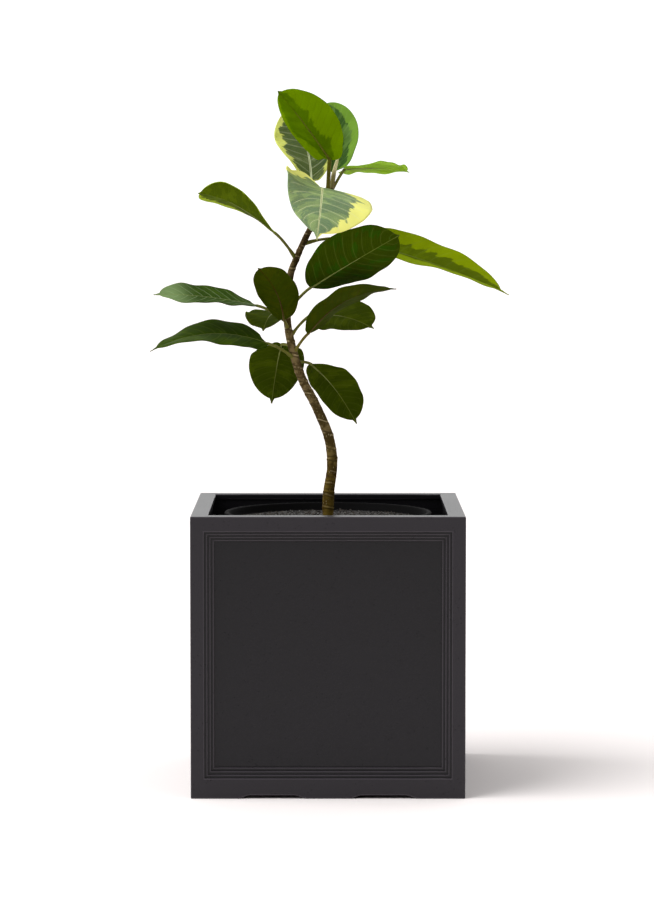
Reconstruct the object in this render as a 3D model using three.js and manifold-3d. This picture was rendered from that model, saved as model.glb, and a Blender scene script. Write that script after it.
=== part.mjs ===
// Potted rubber plant (variegated Ficus elastica) in a square panelled planter.
// Millimetres, +Z up. The origin is the middle of the pad under the planter's floor,
// and the plant is seen from the -Y side.

import * as THREE from 'three';
import { mergeVertices } from 'three/addons/utils/BufferGeometryUtils.js';
import Module from 'manifold-3d';

const wasm = await Module();
wasm.setup();

// ---------------------------------------------------------------- driving dimensions

const GAP = 0.3; // clearance left between pieces that touch
const ROUND_SIDES = 40; // flats around the inner pot and the soil
const HOLE_SIDES = 16;
const CUTTER = 1; // how far a cutting shape runs past what it cuts

const PLANTER = {
  width: 320, // square, outside
  height: 330,
  rim: 20, // width of the flat rim
  lip: 7, // thickness of the rim where it overhangs the cavity
  overhang: 3,
  floor: 26,
  frameSide: 16, // plain border around each panel
  frameTop: 18,
  frameBottom: 24,
  steps: 4, // ledges between the border and the panel
  stepWidth: 3.75,
  stepDepth: 3,
  padWidth: 50, // pad under the middle of each side and of the floor
  padCorner: 55,
  channel: 4, // height of the drainage channels between the pads
  channelEase: 14, // run of a channel's rounded flank
  drainRadius: 9,
};

const LINER = {
  rimRadius: 125,
  footRadius: 104,
  wall: 2,
  height: 295,
  lipWidth: 4,
  lipHeight: 9,
  drainRadius: 5,
  drainRing: 70,
  drains: 6,
};

const SOIL = {
  below: 8, // from the liner's rim down to the soil at the edge
  mound: 3, // rise of the soil towards the stem
  crown: 0.6, // share of the radius and of the rise where its slope eases off
};

const STEM = {
  baseRadius: 7.6,
  neckRadius: 6.6,
  topRadius: 3,
  neckHeight: 350,
  rootTaper: 0.45, // the root end's radius against the base's
  rootShare: 0.12, // share of the axis over which the root end widens
  sides: 10,
  rings: 34,
};

const BUD = {
  step: [0.5, 0, 1.6], // from the stem's end to the bud's foot
  belly: [6, 2, 734],
  point: [16, 0, 756],
  radius: 2.7,
  pointRadius: 0.4,
  footShare: 0.25, // where along a whole spindle the bud's foot falls
  fullness: 0.8,
  sides: 8,
  rings: 8,
};

const LEAF = {
  thickness: 1.2,
  tipWidth: 0.09, // width of the drawn-out tip against the blade's
  fullness: 0.56, // lower is blunter at both ends
  tipRadius: 0.6,
  kneeShare: 0.55, // where the stalk bends, as a share of its straight length
  kneeRise: 0.12, // how far it rises there, against that length
  joint: 0.06, // share of the blade over which the midrib takes over from the stalk
  flare: 0.2, // share of the blade over which it opens to its full fold
  cupFrom: 0.4, // a cupped half is bent up to here and flat again from cupTo on
  cupTo: 0.75,
  stalkRings: 4,
  bladeRings: 11,
  sides: 8,
  // What a leaf has where its own list says nothing else: how much of the width one half takes
  // from the other, how far the widest place moves to the tip and how that half's share of it
  // differs, the share of the blade taken by its drawn-out tip, how much more that half bends
  // up near the base in degrees, and the stalk.
  usual: { skew: 0, shoulder: 1, lopsided: 1, drip: 0.07, cup: 0, stalkRadius: 1.7 },
};

const COLOUR = {
  planter: 0x37353a,
  liner: 0x161617,
  soil: 0x3a332d,
  stem: 0x6f5d43,
  bud: 0xe6d9a8,
  topLeaf: 0x8fae1e,
  leaf: 0x35521a,
  limeLeaf: 0x9fb63a,
  oliveLeaf: 0x5d6b1c,
};

// The stem's axis, from the root end to the growing tip.
const STEM_POINTS = [
  [0, 0, 248],
  [0, 0, 313],
  [1, 0, 345],
  [5, 0, 378],
  [1, -1, 411],
  [-14, -2, 448],
  [-30, -2, 479],
  [-41, -1, 511],
  [-48.5, 1, 547],
  [-48, 2, 576],
  [-45, 2, 606],
  [-37, 1, 628],
  [-22, 0, 660],
  [-4, 0, 687],
  [5, 0, 711],
];

// Each leaf: the height where it leaves the stem, the two ends of its blade, how far the
// midrib bows off the straight line, the blade's width and how much of it one half takes
// from the other (skew), the way its upper side faces at the two ends, and the angles in
// degrees by which each half rises at the midrib (fold) and then bends towards the margin
// (curl).
const LEAVES = {
  leaf_top_front: {
    grows: 694, base: [2, -18, 744], tip: [-59, -46, 824], bow: [1, -4, 1], width: 62,
    face: [0.1, 0.95, 0.25], tipFace: [0, 0.97, 0.1], fold: 22, curl: 12, colour: COLOUR.topLeaf,
    skew: -0.25, shoulder: 0.8, drip: 0.04, stalkRadius: 2.4,
  },
  leaf_top_back: {
    grows: 704, base: [7, 28, 730], tip: [-14, 74, 812], bow: [12, 6, 4], width: 66,
    face: [-0.3, -0.9, 0.3], tipFace: [-0.3, -0.9, 0.3], fold: 12, curl: 8, colour: COLOUR.leaf,
  },
  leaf_top_left: {
    grows: 698, base: [-20, 12, 714], tip: [-50, 40, 812], bow: [7, 8, 5], width: 74,
    face: [0.3, -0.9, 0.2], tipFace: [0, -1, 0.2], fold: 10, curl: 8, colour: COLOUR.leaf,
    shoulder: 1.3,
  },
  leaf_front: {
    grows: 694, base: [-8, -22, 710], tip: [-13, -138, 650], bow: [3, -8, 18], width: 112,
    face: [0.22, -0.4, 0.9], tipFace: [0.15, -0.7, 0.7], fold: 4, curl: -12, colour: COLOUR.limeLeaf,
    skew: -0.1, lopsided: 0.52, cup: 45,
  },
  leaf_top_right: {
    grows: 688, base: [20, 6, 733], tip: [99, 76, 730], bow: [0, 4, 3], width: 60,
    face: [0, 0.35, 1], tipFace: [0, 0.2, 1], fold: 4, curl: -8, colour: COLOUR.limeLeaf,
    shoulder: 0.8,
  },
  leaf_upper_left: {
    grows: 625, base: [-64, -12, 657], tip: [-154, -40, 704], bow: [-3, 0, 11], width: 68,
    face: [0.8, 0.3, 0.55], tipFace: [-0.1, 0.4, 0.9], fold: 6, curl: 6, colour: COLOUR.oliveLeaf,
    shoulder: 1.8, drip: 0.04,
  },
  leaf_far_right: {
    grows: 643, base: [26, 28, 648], tip: [220, 50, 581], bow: [3, 4, 5], width: 80,
    face: [0.2, -0.55, 0.85], tipFace: [0.3, -0.25, 0.9], fold: 20, curl: -6, colour: COLOUR.limeLeaf,
  },
  leaf_right: {
    grows: 560, base: [-20, -22, 592], tip: [84, -75, 655], bow: [0, -6, 1], width: 89,
    face: [-0.5, 0.75, 0.35], tipFace: [-0.4, 0.8, 0.4], fold: 8, curl: 6, colour: COLOUR.leaf,
    drip: 0.04,
  },
  leaf_left: {
    grows: 549, base: [-85, -20, 570], tip: [-207, -45, 584], bow: [0, 0, 4], width: 59,
    face: [0, -0.2, 1], tipFace: [-0.15, -0.5, 0.85], fold: 4, curl: 6, colour: COLOUR.leaf,
  },
  leaf_front_small: {
    grows: 541, base: [-53, -16, 553], tip: [-82, -82, 616], bow: [6, -2, 3], width: 50,
    face: [0, 0.7, 0.7], tipFace: [0, 0.7, 0.7], fold: 12, curl: 6, colour: COLOUR.leaf,
    drip: 0.04,
  },
  leaf_right_small: {
    grows: 531, base: [-23, 16, 556], tip: [56, 84, 539], bow: [0, 2, 8], width: 72,
    face: [0, 0.6, 0.8], tipFace: [0, 0.6, 0.8], fold: 4, curl: -8, colour: COLOUR.leaf,
  },
  leaf_left_back: {
    grows: 554, base: [-60, 26, 562], tip: [-80, 112, 535], bow: [-2, 0, 6], width: 58,
    face: [-0.2, 0.5, 0.9], tipFace: [-0.1, 0.6, 0.8], fold: 6, curl: 6, colour: COLOUR.leaf,
  },
  leaf_back: {
    grows: 519, base: [-56, 18, 522], tip: [-69, 62, 448], bow: [0, 10, 8], width: 68,
    face: [-0.1, 0.8, 0.6], tipFace: [-0.1, 0.9, 0.4], fold: 6, curl: 4, colour: COLOUR.oliveLeaf,
  },
  leaf_right_narrow: {
    grows: 512, base: [-23, -17, 537], tip: [81, -52, 591], bow: [-7, 0, 13], width: 66,
    face: [-0.4, 0.35, 0.85], tipFace: [-0.2, 0.3, 0.9], fold: 6, curl: 4, colour: COLOUR.leaf,
  },
  leaf_lower_left: {
    grows: 505, base: [-73, -22, 525], tip: [-211, -52, 517], bow: [0, -2, 16], width: 80,
    face: [0.1, -0.5, 0.85], tipFace: [0, 0, 1], fold: 8, curl: -10, colour: COLOUR.leaf,
  },
  leaf_lower_right: {
    grows: 501, base: [-20, 20, 498], tip: [35, 52, 424], bow: [2, 6, 5], width: 60,
    face: [0.4, 0.7, 0.6], tipFace: [0.3, 0.9, 0.3], fold: 6, curl: 4, colour: COLOUR.leaf,
  },
};

// ---------------------------------------------------------------- helpers

const group = new THREE.Group();

function finish(colour, roughness, metalness = 0) {
  return new THREE.MeshStandardMaterial({ color: colour, roughness, metalness });
}

function add(name, geometry, material) {
  const mesh = new THREE.Mesh(geometry, material);
  mesh.name = name;
  group.add(mesh);
}

// A closed geometry as a solid that can be joined and cut.
function solid(geometry) {
  const plain = geometry.clone();
  plain.deleteAttribute('normal');
  plain.deleteAttribute('uv');
  const merged = mergeVertices(plain, 1e-4);
  return new wasm.Manifold(
    new wasm.Mesh({
      numProp: 3,
      vertProperties: new Float32Array(merged.attributes.position.array),
      triVerts: new Uint32Array(merged.index.array),
    }),
  );
}

function geometryOf(body) {
  const mesh = body.getMesh();
  const geometry = new THREE.BufferGeometry();
  geometry.setAttribute('position', new THREE.BufferAttribute(mesh.vertProperties, 3));
  geometry.setIndex(new THREE.BufferAttribute(mesh.triVerts, 1));
  geometry.computeVertexNormals();
  return geometry;
}

// A box given by its lowest corner and its size.
function block(x, y, z, width, depth, height) {
  const box = new THREE.BoxGeometry(width, depth, height);
  return solid(box.translate(x + width / 2, y + depth / 2, z + height / 2));
}

function uprightCylinder(radius, x, y, low, high) {
  const cylinder = new THREE.CylinderGeometry(radius, radius, high - low, HOLE_SIDES);
  return solid(cylinder.rotateX(Math.PI / 2).translate(x, y, (low + high) / 2));
}

// A solid turned about the Z axis from [radius, height] points that start and end on it.
function turned(points, sides) {
  const profile = points.map(([radius, height]) => new THREE.Vector2(radius, height));
  return solid(new THREE.LatheGeometry(profile, sides).rotateX(Math.PI / 2));
}

// Turns the diagonals in the back half of a tube's facets, so that a flat tube's two walls
// bend alike and never pass through each other.
function matchWalls(corners, sides, rings) {
  const facet = 6;
  for (let i = (sides / 2) * rings * facet; i < sides * rings * facet; i += facet) {
    const [a, b, d, , c] = corners.slice(i, i + facet);
    corners.set([a, b, c, a, c, d], i);
  }
}

// A closed tube whose every ring is placed by a function of the share of the length and
// of the ring's unit circle (across, through).
function lofted(sides, rings, place) {
  const tube = new THREE.CylinderGeometry(1, 1, 1, sides, rings);
  tube.deleteAttribute('normal');
  tube.deleteAttribute('uv');
  const merged = mergeVertices(tube, 1e-4);
  const position = merged.attributes.position;
  for (let i = 0; i < position.count; i += 1) {
    const share = 0.5 - position.getY(i);
    const point = place(share, position.getZ(i), position.getX(i));
    position.setXYZ(i, point.x, point.y, point.z);
  }
  matchWalls(merged.index.array, sides, rings);
  merged.computeVertexNormals();
  return merged;
}

function smooth(from, to, value) {
  return THREE.MathUtils.smoothstep(value, from, to);
}

// ---------------------------------------------------------------- planter

function panelRecess() {
  const half = PLANTER.width / 2;
  const levels = Array.from({ length: PLANTER.steps }, (_, level) => {
    const inset = level * PLANTER.stepWidth;
    const left = -half + PLANTER.frameSide + inset;
    const low = PLANTER.frameBottom + inset;
    const high = PLANTER.height - PLANTER.frameTop - inset;
    const depth = (level + 1) * PLANTER.stepDepth;
    return block(left, -half - CUTTER, low, -2 * left, depth + CUTTER, high - low);
  });
  return levels.reduce((sum, level) => sum.add(level));
}

// A drainage channel along Y, its flanks eased into its flat roof.
function drainageChannel(centre) {
  const half = PLANTER.width / 2;
  const reach = (half - PLANTER.padCorner - PLANTER.padWidth / 2) / 2;
  const flat = reach - PLANTER.channelEase;
  const bend = reach - PLANTER.channelEase / 2;
  const roof = PLANTER.channel;
  const outline = new THREE.Shape();
  outline.moveTo(-reach, -CUTTER);
  outline.lineTo(-reach, 0);
  outline.bezierCurveTo(-bend, 0, -bend, roof, -flat, roof);
  outline.lineTo(flat, roof);
  outline.bezierCurveTo(bend, roof, bend, 0, reach, 0);
  outline.lineTo(reach, -CUTTER);
  const long = new THREE.ExtrudeGeometry(outline, {
    depth: PLANTER.width + 2 * CUTTER,
    bevelEnabled: false,
    curveSegments: 4,
  });
  return solid(long.rotateX(Math.PI / 2).translate(centre, half + CUTTER, 0));
}

function planter() {
  const half = PLANTER.width / 2;
  const open = half - PLANTER.rim;
  const cavity = open + PLANTER.overhang;
  const lipFoot = PLANTER.height - PLANTER.lip;
  let body = block(-half, -half, 0, PLANTER.width, PLANTER.width, PLANTER.height);
  body = body.subtract(block(-open, -open, PLANTER.floor, 2 * open, 2 * open, PLANTER.height));
  body = body.subtract(
    block(-cavity, -cavity, PLANTER.floor, 2 * cavity, 2 * cavity, lipFoot - PLANTER.floor),
  );
  const recess = panelRecess();
  for (const turn of [0, 90, 180, 270]) {
    body = body.subtract(recess.rotate([0, 0, turn]));
  }
  const channelCentre = (half - PLANTER.padCorner + PLANTER.padWidth / 2) / 2;
  for (const centre of [-channelCentre, channelCentre]) {
    const channel = drainageChannel(centre);
    body = body.subtract(channel).subtract(channel.rotate([0, 0, 90]));
    for (const across of [-channelCentre, channelCentre]) {
      const top = PLANTER.floor + CUTTER;
      body = body.subtract(uprightCylinder(PLANTER.drainRadius, centre, across, -CUTTER, top));
    }
  }
  return body;
}

// ---------------------------------------------------------------- liner pot and soil

const linerFoot = PLANTER.floor + GAP;
const linerRim = linerFoot + LINER.height;
const soilEdge = linerRim - SOIL.below;

function liner() {
  const { rimRadius, footRadius, wall, lipWidth, lipHeight } = LINER;
  const body = rimRadius - lipWidth;
  const shell = turned([
    [0, linerFoot],
    [footRadius, linerFoot],
    [body, linerRim - lipHeight],
    [rimRadius, linerRim - lipHeight],
    [rimRadius, linerRim],
    [body - wall, linerRim],
    [footRadius - wall, linerFoot + wall],
    [0, linerFoot + wall],
  ], ROUND_SIDES);
  let drained = shell;
  for (let i = 0; i < LINER.drains; i += 1) {
    const angle = (i / LINER.drains) * 2 * Math.PI;
    const x = LINER.drainRing * Math.cos(angle);
    const y = LINER.drainRing * Math.sin(angle);
    const low = linerFoot - CUTTER;
    const high = linerFoot + wall + CUTTER;
    drained = drained.subtract(uprightCylinder(LINER.drainRadius, x, y, low, high));
  }
  return drained;
}

function soil() {
  const wallFoot = LINER.footRadius - LINER.wall;
  const wallRim = LINER.rimRadius - LINER.lipWidth - LINER.wall;
  const low = linerFoot + LINER.wall + GAP;
  const radiusAt = (height) => {
    const share = (height - linerFoot - LINER.wall) / (LINER.height - LINER.wall);
    return THREE.MathUtils.lerp(wallFoot, wallRim, share) - 2 * GAP;
  };
  const edge = radiusAt(soilEdge);
  return turned([
    [0, low],
    [radiusAt(low), low],
    [edge, soilEdge],
    [edge * SOIL.crown, soilEdge + SOIL.mound * SOIL.crown],
    [0, soilEdge + SOIL.mound],
  ], ROUND_SIDES);
}

// ---------------------------------------------------------------- stem

const stemAxis = new THREE.CatmullRomCurve3(
  STEM_POINTS.map((point) => new THREE.Vector3(...point)),
);

function stemRadius(height) {
  const { neckHeight, baseRadius, neckRadius, topRadius } = STEM;
  if (height < neckHeight) {
    return THREE.MathUtils.mapLinear(height, soilEdge, neckHeight, baseRadius, neckRadius);
  }
  return THREE.MathUtils.mapLinear(height, neckHeight, STEM_POINTS.at(-1)[2], neckRadius, topRadius);
}

// The share of the axis at a height, found by halving.
function stemShare(height) {
  let low = 0;
  let high = 1;
  for (let i = 0; i < 30; i += 1) {
    const middle = (low + high) / 2;
    if (stemAxis.getPoint(middle).z < height) {
      low = middle;
    } else {
      high = middle;
    }
  }
  return low;
}

function stem(extra = 0) {
  return lofted(STEM.sides, STEM.rings, (share, across, through) => {
    const centre = stemAxis.getPoint(share);
    const along = stemAxis.getTangent(share);
    const side = new THREE.Vector3(0, 1, 0).cross(along).normalize();
    const front = new THREE.Vector3().crossVectors(side, along);
    const rootTaper = THREE.MathUtils.lerp(STEM.rootTaper, 1, smooth(0, STEM.rootShare, share));
    const radius = Math.min(stemRadius(centre.z), STEM.baseRadius) * rootTaper + extra;
    const end = share === 0 || share === 1 ? extra * (share * 2 - 1) : 0;
    return centre.addScaledVector(side, across * radius)
      .addScaledVector(front, through * radius)
      .addScaledVector(along, end);
  });
}

// ---------------------------------------------------------------- leaves

// Half the blade's width at a share of its length.
function halfWidth(share, width, shoulder, drip) {
  const body = Math.min(share / (1 - drip * 0.8), 1) ** shoulder;
  const lens = (4 * body * (1 - body)) ** LEAF.fullness;
  const point = LEAF.tipWidth * (1 - smooth(1 - drip, 1, share));
  return (width / 2) * Math.max(lens, point);
}

// How far along its stalk a leaf comes clear of the stem.
function clearOfStem(stalk, stalkRadius) {
  let low = 0;
  let high = 1;
  for (let i = 0; i < 20; i += 1) {
    const middle = (low + high) / 2;
    const point = stalk.getPoint(middle);
    const nearest = stemShare(point.z);
    const centre = stemAxis.getPoint(nearest);
    const away = point.sub(centre).cross(stemAxis.getTangent(nearest)).length();
    if (away < stemRadius(centre.z) + stalkRadius + 2 * GAP) {
      low = middle;
    } else {
      high = middle;
    }
  }
  return high;
}

// A leaf with its stalk, grown as one piece.
function leaf(shape) {
  const { grows, base, tip, bow, width, face, tipFace, fold, curl } = shape;
  const { skew, shoulder, lopsided, drip, cup, stalkRadius } = { ...LEAF.usual, ...shape };
  const root = stemAxis.getPoint(stemShare(grows));
  const start = new THREE.Vector3(...base);
  const end = new THREE.Vector3(...tip);
  const belly = start.clone().lerp(end, 0.5).addScaledVector(new THREE.Vector3(...bow), 2);
  const knee = root.clone().lerp(start, LEAF.kneeShare);
  knee.z += LEAF.kneeRise * root.distanceTo(start);
  const stalk = new THREE.QuadraticBezierCurve3(root, knee, start);
  const midrib = new THREE.QuadraticBezierCurve3(start, belly, end);
  const bend = THREE.MathUtils.degToRad(fold);
  const rings = LEAF.stalkRings + LEAF.bladeRings;
  const foot = clearOfStem(stalk, stalkRadius);

  return lofted(LEAF.sides, rings, (length, across, through) => {
    const ring = Math.round(length * rings);
    const onStalk = THREE.MathUtils.lerp(foot, 1, Math.min(1, ring / LEAF.stalkRings));
    const onBlade = Math.max(0, (ring - LEAF.stalkRings) / LEAF.bladeRings);
    const blade = (1 - Math.cos(Math.PI * onBlade)) / 2;
    const centre = onBlade > 0 ? midrib.getPoint(blade) : stalk.getPoint(onStalk);
    const along = midrib.getTangent(blade)
      .lerp(stalk.getTangent(onStalk), 1 - smooth(0, LEAF.joint, blade))
      .normalize();
    const up = new THREE.Vector3(...face).lerp(new THREE.Vector3(...tipFace), blade);
    up.addScaledVector(along, -up.dot(along)).normalize();
    const side = new THREE.Vector3().crossVectors(along, up);

    const spread = smooth(0, LEAF.flare, blade);
    const ownWidth = width * (1 + skew * Math.sign(across));
    const core = THREE.MathUtils.lerp(stalkRadius, LEAF.tipRadius, blade);
    const ownShoulder = across > 0 ? shoulder * lopsided : shoulder;
    const half = Math.max(halfWidth(blade, ownWidth, ownShoulder, drip), core);
    const thick = THREE.MathUtils.lerp(stalkRadius, LEAF.thickness / 2, spread);
    const rise = bend * spread;
    const rolled = across > 0 ? cup * (1 - smooth(LEAF.cupFrom, LEAF.cupTo, blade)) : 0;
    const turn = THREE.MathUtils.degToRad(curl + rolled);
    const lean = rise + turn * Math.abs(across);
    const out = (half * (Math.sin(lean) - Math.sin(rise))) / turn;
    const lift = (half * (Math.cos(rise) - Math.cos(lean))) / turn;
    return centre
      .addScaledVector(side, Math.sign(across) * (out - thick * through * Math.sin(lean)))
      .addScaledVector(up, lift + thick * through * Math.cos(lean));
  });
}

// The rolled sheath that holds the next leaf, standing on the growing tip.
function bud() {
  const foot = stemAxis.getPoint(1).add(new THREE.Vector3(...BUD.step));
  const axis = new THREE.QuadraticBezierCurve3(
    foot,
    new THREE.Vector3(...BUD.belly),
    new THREE.Vector3(...BUD.point),
  );
  return lofted(BUD.sides, BUD.rings, (share, across, through) => {
    const centre = axis.getPoint(share);
    const swell = Math.sin(Math.PI * (BUD.footShare + (1 - BUD.footShare) * share));
    const swollen = Math.max(swell, 0) ** BUD.fullness;
    const radius = THREE.MathUtils.lerp(BUD.pointRadius, BUD.radius, swollen);
    return centre.add(new THREE.Vector3(-across * radius, through * radius, 0));
  });
}

// ---------------------------------------------------------------- assembly

const stemRoom = solid(stem(GAP));

add('planter', geometryOf(planter()), finish(COLOUR.planter, 0.85));
add('nursery_pot', geometryOf(liner()), finish(COLOUR.liner, 0.55));
add('potting_soil', geometryOf(soil().subtract(stemRoom)), finish(COLOUR.soil, 0.95));
add('stem', stem(), finish(COLOUR.stem, 0.8));
for (const [name, shape] of Object.entries(LEAVES)) {
  add(name, leaf(shape), finish(shape.colour, 0.4));
}
add('terminal_bud', bud(), finish(COLOUR.bud, 0.5));

export default group;
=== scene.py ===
"""A potted rubber plant: a young variegated ficus in a square panelled planter.

Lengths are in metres. The planter stands on the origin and the plant is seen from -Y.
"""

from __future__ import annotations

import logging
import math
import random
from dataclasses import dataclass, field, replace
from enum import Enum
from typing import Any, Callable

import bmesh
import bpy
from mathutils import Matrix, Vector, noise

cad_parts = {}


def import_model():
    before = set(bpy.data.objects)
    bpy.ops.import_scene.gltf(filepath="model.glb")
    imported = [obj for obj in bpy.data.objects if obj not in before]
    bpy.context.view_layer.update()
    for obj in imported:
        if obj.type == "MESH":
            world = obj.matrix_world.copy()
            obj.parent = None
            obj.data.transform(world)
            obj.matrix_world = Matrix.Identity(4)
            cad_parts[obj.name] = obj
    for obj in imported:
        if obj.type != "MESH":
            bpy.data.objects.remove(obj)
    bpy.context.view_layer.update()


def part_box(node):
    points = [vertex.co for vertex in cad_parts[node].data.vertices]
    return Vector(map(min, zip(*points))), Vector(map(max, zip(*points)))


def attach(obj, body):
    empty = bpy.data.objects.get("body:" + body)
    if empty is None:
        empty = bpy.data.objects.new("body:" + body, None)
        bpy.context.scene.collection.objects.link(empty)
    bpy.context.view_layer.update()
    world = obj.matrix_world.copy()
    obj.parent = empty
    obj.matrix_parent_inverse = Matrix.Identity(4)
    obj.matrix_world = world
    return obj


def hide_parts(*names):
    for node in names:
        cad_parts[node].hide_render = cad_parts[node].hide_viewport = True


LOG = logging.getLogger("potted_plant")
MM = 0.001
TOUCH = 0.1 * MM  # how near a face or a point lies to the plane that it belongs to
Colour = tuple[float, float, float]
Tone = tuple[int, int, int]
Placer = Callable[[float, float], Vector]


def srgb(red: int, green: int, blue: int) -> Colour:
    """Turns a display colour, 0 to 255, into the linear one that shaders take.

    Args:
        red: The red level.
        green: The green level.
        blue: The blue level.

    Returns:
        The linear colour.
    """

    def linear(level: int) -> float:
        """Turns one level linear."""
        share = level / 255
        return share / 12.92 if share <= 0.04045 else ((share + 0.055) / 1.055) ** 2.4

    return linear(red), linear(green), linear(blue)


def smooth(start: float, end: float, value: float) -> float:
    """Eases from 0 at start to 1 at end."""
    share = min(1.0, max(0.0, (value - start) / (end - start)))
    return share * share * (3 - 2 * share)


def lerp(low: float, high: float, share: float) -> float:
    """Goes from low to high by a share."""
    return low + (high - low) * share


def hump(distance: float, width: float) -> float:
    """A smooth hump, 1 in the middle and about a third a width away."""
    return math.exp(-((distance / width) ** 2))


def crowded(share: float) -> float:
    """Draws evenly spaced shares towards both ends."""
    return (1 - math.cos(math.pi * share)) / 2


def scaled(colour: Colour, share: float) -> Colour:
    """Makes a colour darker, or brighter up to full."""
    return tuple(min(1.0, level * share) for level in colour)


# ------------------------------------------------------------------ shader writing


class Value:
    """A shader socket that takes part in Python arithmetic."""

    def __init__(self, tree: Tree, socket: Any) -> None:
        """Keeps the socket and the tree that its maths is added to."""
        self.tree = tree
        self.socket = socket

    def __add__(self, other: Operand) -> Value:
        """Adds."""
        return self.tree.math("ADD", self, other)

    def __radd__(self, other: Operand) -> Value:
        """Adds, from the left."""
        return self.tree.math("ADD", other, self)

    def __sub__(self, other: Operand) -> Value:
        """Subtracts."""
        return self.tree.math("SUBTRACT", self, other)

    def __rsub__(self, other: Operand) -> Value:
        """Subtracts from a number."""
        return self.tree.math("SUBTRACT", other, self)

    def __mul__(self, other: Operand) -> Value:
        """Multiplies."""
        return self.tree.math("MULTIPLY", self, other)

    def __rmul__(self, other: Operand) -> Value:
        """Multiplies, from the left."""
        return self.tree.math("MULTIPLY", other, self)

    def __pow__(self, other: Operand) -> Value:
        """Raises to a power."""
        return self.tree.math("POWER", self, other)

    def __abs__(self) -> Value:
        """Drops the sign."""
        return self.tree.math("ABSOLUTE", self)

    def fraction(self) -> Value:
        """Keeps what is after the point."""
        return self.tree.math("FRACT", self)

    def most(self, other: Operand) -> Value:
        """Takes the larger of two."""
        return self.tree.math("MAXIMUM", self, other)

    def least(self, other: Operand) -> Value:
        """Takes the smaller of two."""
        return self.tree.math("MINIMUM", self, other)

    def above(self, edge: float, soft: float) -> Value:
        """Rises from 0 to 1 around an edge.

        Args:
            edge: The middle of the rise.
            soft: Half the rise's width.

        Returns:
            The mask.
        """
        settings = {"interpolation_type": "SMOOTHSTEP"}
        inputs = {0: self, 1: edge - soft, 2: edge + soft, 3: 0.0, 4: 1.0}
        return self.tree.value("ShaderNodeMapRange", settings, inputs)

    def below(self, edge: float, soft: float) -> Value:
        """Falls from 1 to 0 around an edge."""
        return 1.0 - self.above(edge, soft)


Operand = Value | float


class Tree:
    """The node tree of a material or a world, built by calls that return sockets."""

    def __init__(self, holder: Any) -> None:
        """Keeps the nodes of a material or a world.

        Args:
            holder: The material or the world.
        """
        holder.use_nodes = True
        self.nodes = holder.node_tree.nodes
        self.links = holder.node_tree.links

    def node(self, kind: str, settings: dict[str, Any], inputs: dict[Any, Any]) -> Any:
        """Adds a node.

        Args:
            kind: The node's type.
            settings: Its properties, such as a Math node's operation.
            inputs: Values or links by the socket's name or number.

        Returns:
            The node.
        """
        node = self.nodes.new(kind)
        for name, setting in settings.items():
            setattr(node, name, setting)
        for key, value in inputs.items():
            self.feed(node.inputs[key], value)
        return node

    def feed(self, socket: Any, value: Any) -> None:
        """Sets or links one input.

        Args:
            socket: The input.
            value: What it is linked to, or the number, colour or vector that it keeps.
        """
        if isinstance(value, Value):
            self.links.new(value.socket, socket)
        elif isinstance(value, tuple) and len(value) == 3 and socket.type == "RGBA":
            socket.default_value = (*value, 1.0)
        else:
            socket.default_value = value

    def value(
        self, kind: str, settings: dict[str, Any], inputs: dict[Any, Any], output: Any = 0
    ) -> Value:
        """Adds a node and returns one of its outputs."""
        return Value(self, self.node(kind, settings, inputs).outputs[output])

    def math(self, operation: str, first: Operand, second: Operand | None = None) -> Value:
        """Adds a Math node."""
        inputs = {0: first} if second is None else {0: first, 1: second}
        return self.value("ShaderNodeMath", {"operation": operation}, inputs)

    def mix(self, share: Operand, first: Colour | Value, second: Colour | Value) -> Value:
        """Mixes two colours."""
        inputs = {0: share, 6: first, 7: second}
        return self.value("ShaderNodeMix", {"data_type": "RGBA"}, inputs, 2)

    def place(self) -> Value:
        """The piece's own coordinates, in metres."""
        return self.value("ShaderNodeTexCoord", {}, {}, "Object")

    def map(self, name: str) -> tuple[Value, Value]:
        """The two parts of a UV map."""
        both = self.value("ShaderNodeUVMap", {"uv_map": name}, {})
        return self.split(both)[:2]

    def split(self, vector: Value) -> tuple[Value, Value, Value]:
        """The three parts of a vector."""
        node = self.node("ShaderNodeSeparateXYZ", {}, {0: vector})
        return tuple(Value(self, output) for output in node.outputs)

    def join(self, x: Operand, y: Operand, z: Operand) -> Value:
        """A vector from its parts."""
        return self.value("ShaderNodeCombineXYZ", {}, {0: x, 1: y, 2: z})

    def noise(self, at: Value, scale: float, detail: float = 2.0, rough: float = 0.5) -> Value:
        """Noise from 0 to 1."""
        inputs = {"Vector": at, "Scale": scale, "Detail": detail, "Roughness": rough}
        return self.value("ShaderNodeTexNoise", {}, inputs, 0)

    def cells(self, at: Value, scale: float) -> Value:
        """The distance to the nearest of scattered points."""
        return self.value("ShaderNodeTexVoronoi", {}, {"Vector": at, "Scale": scale}, 0)


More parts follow.
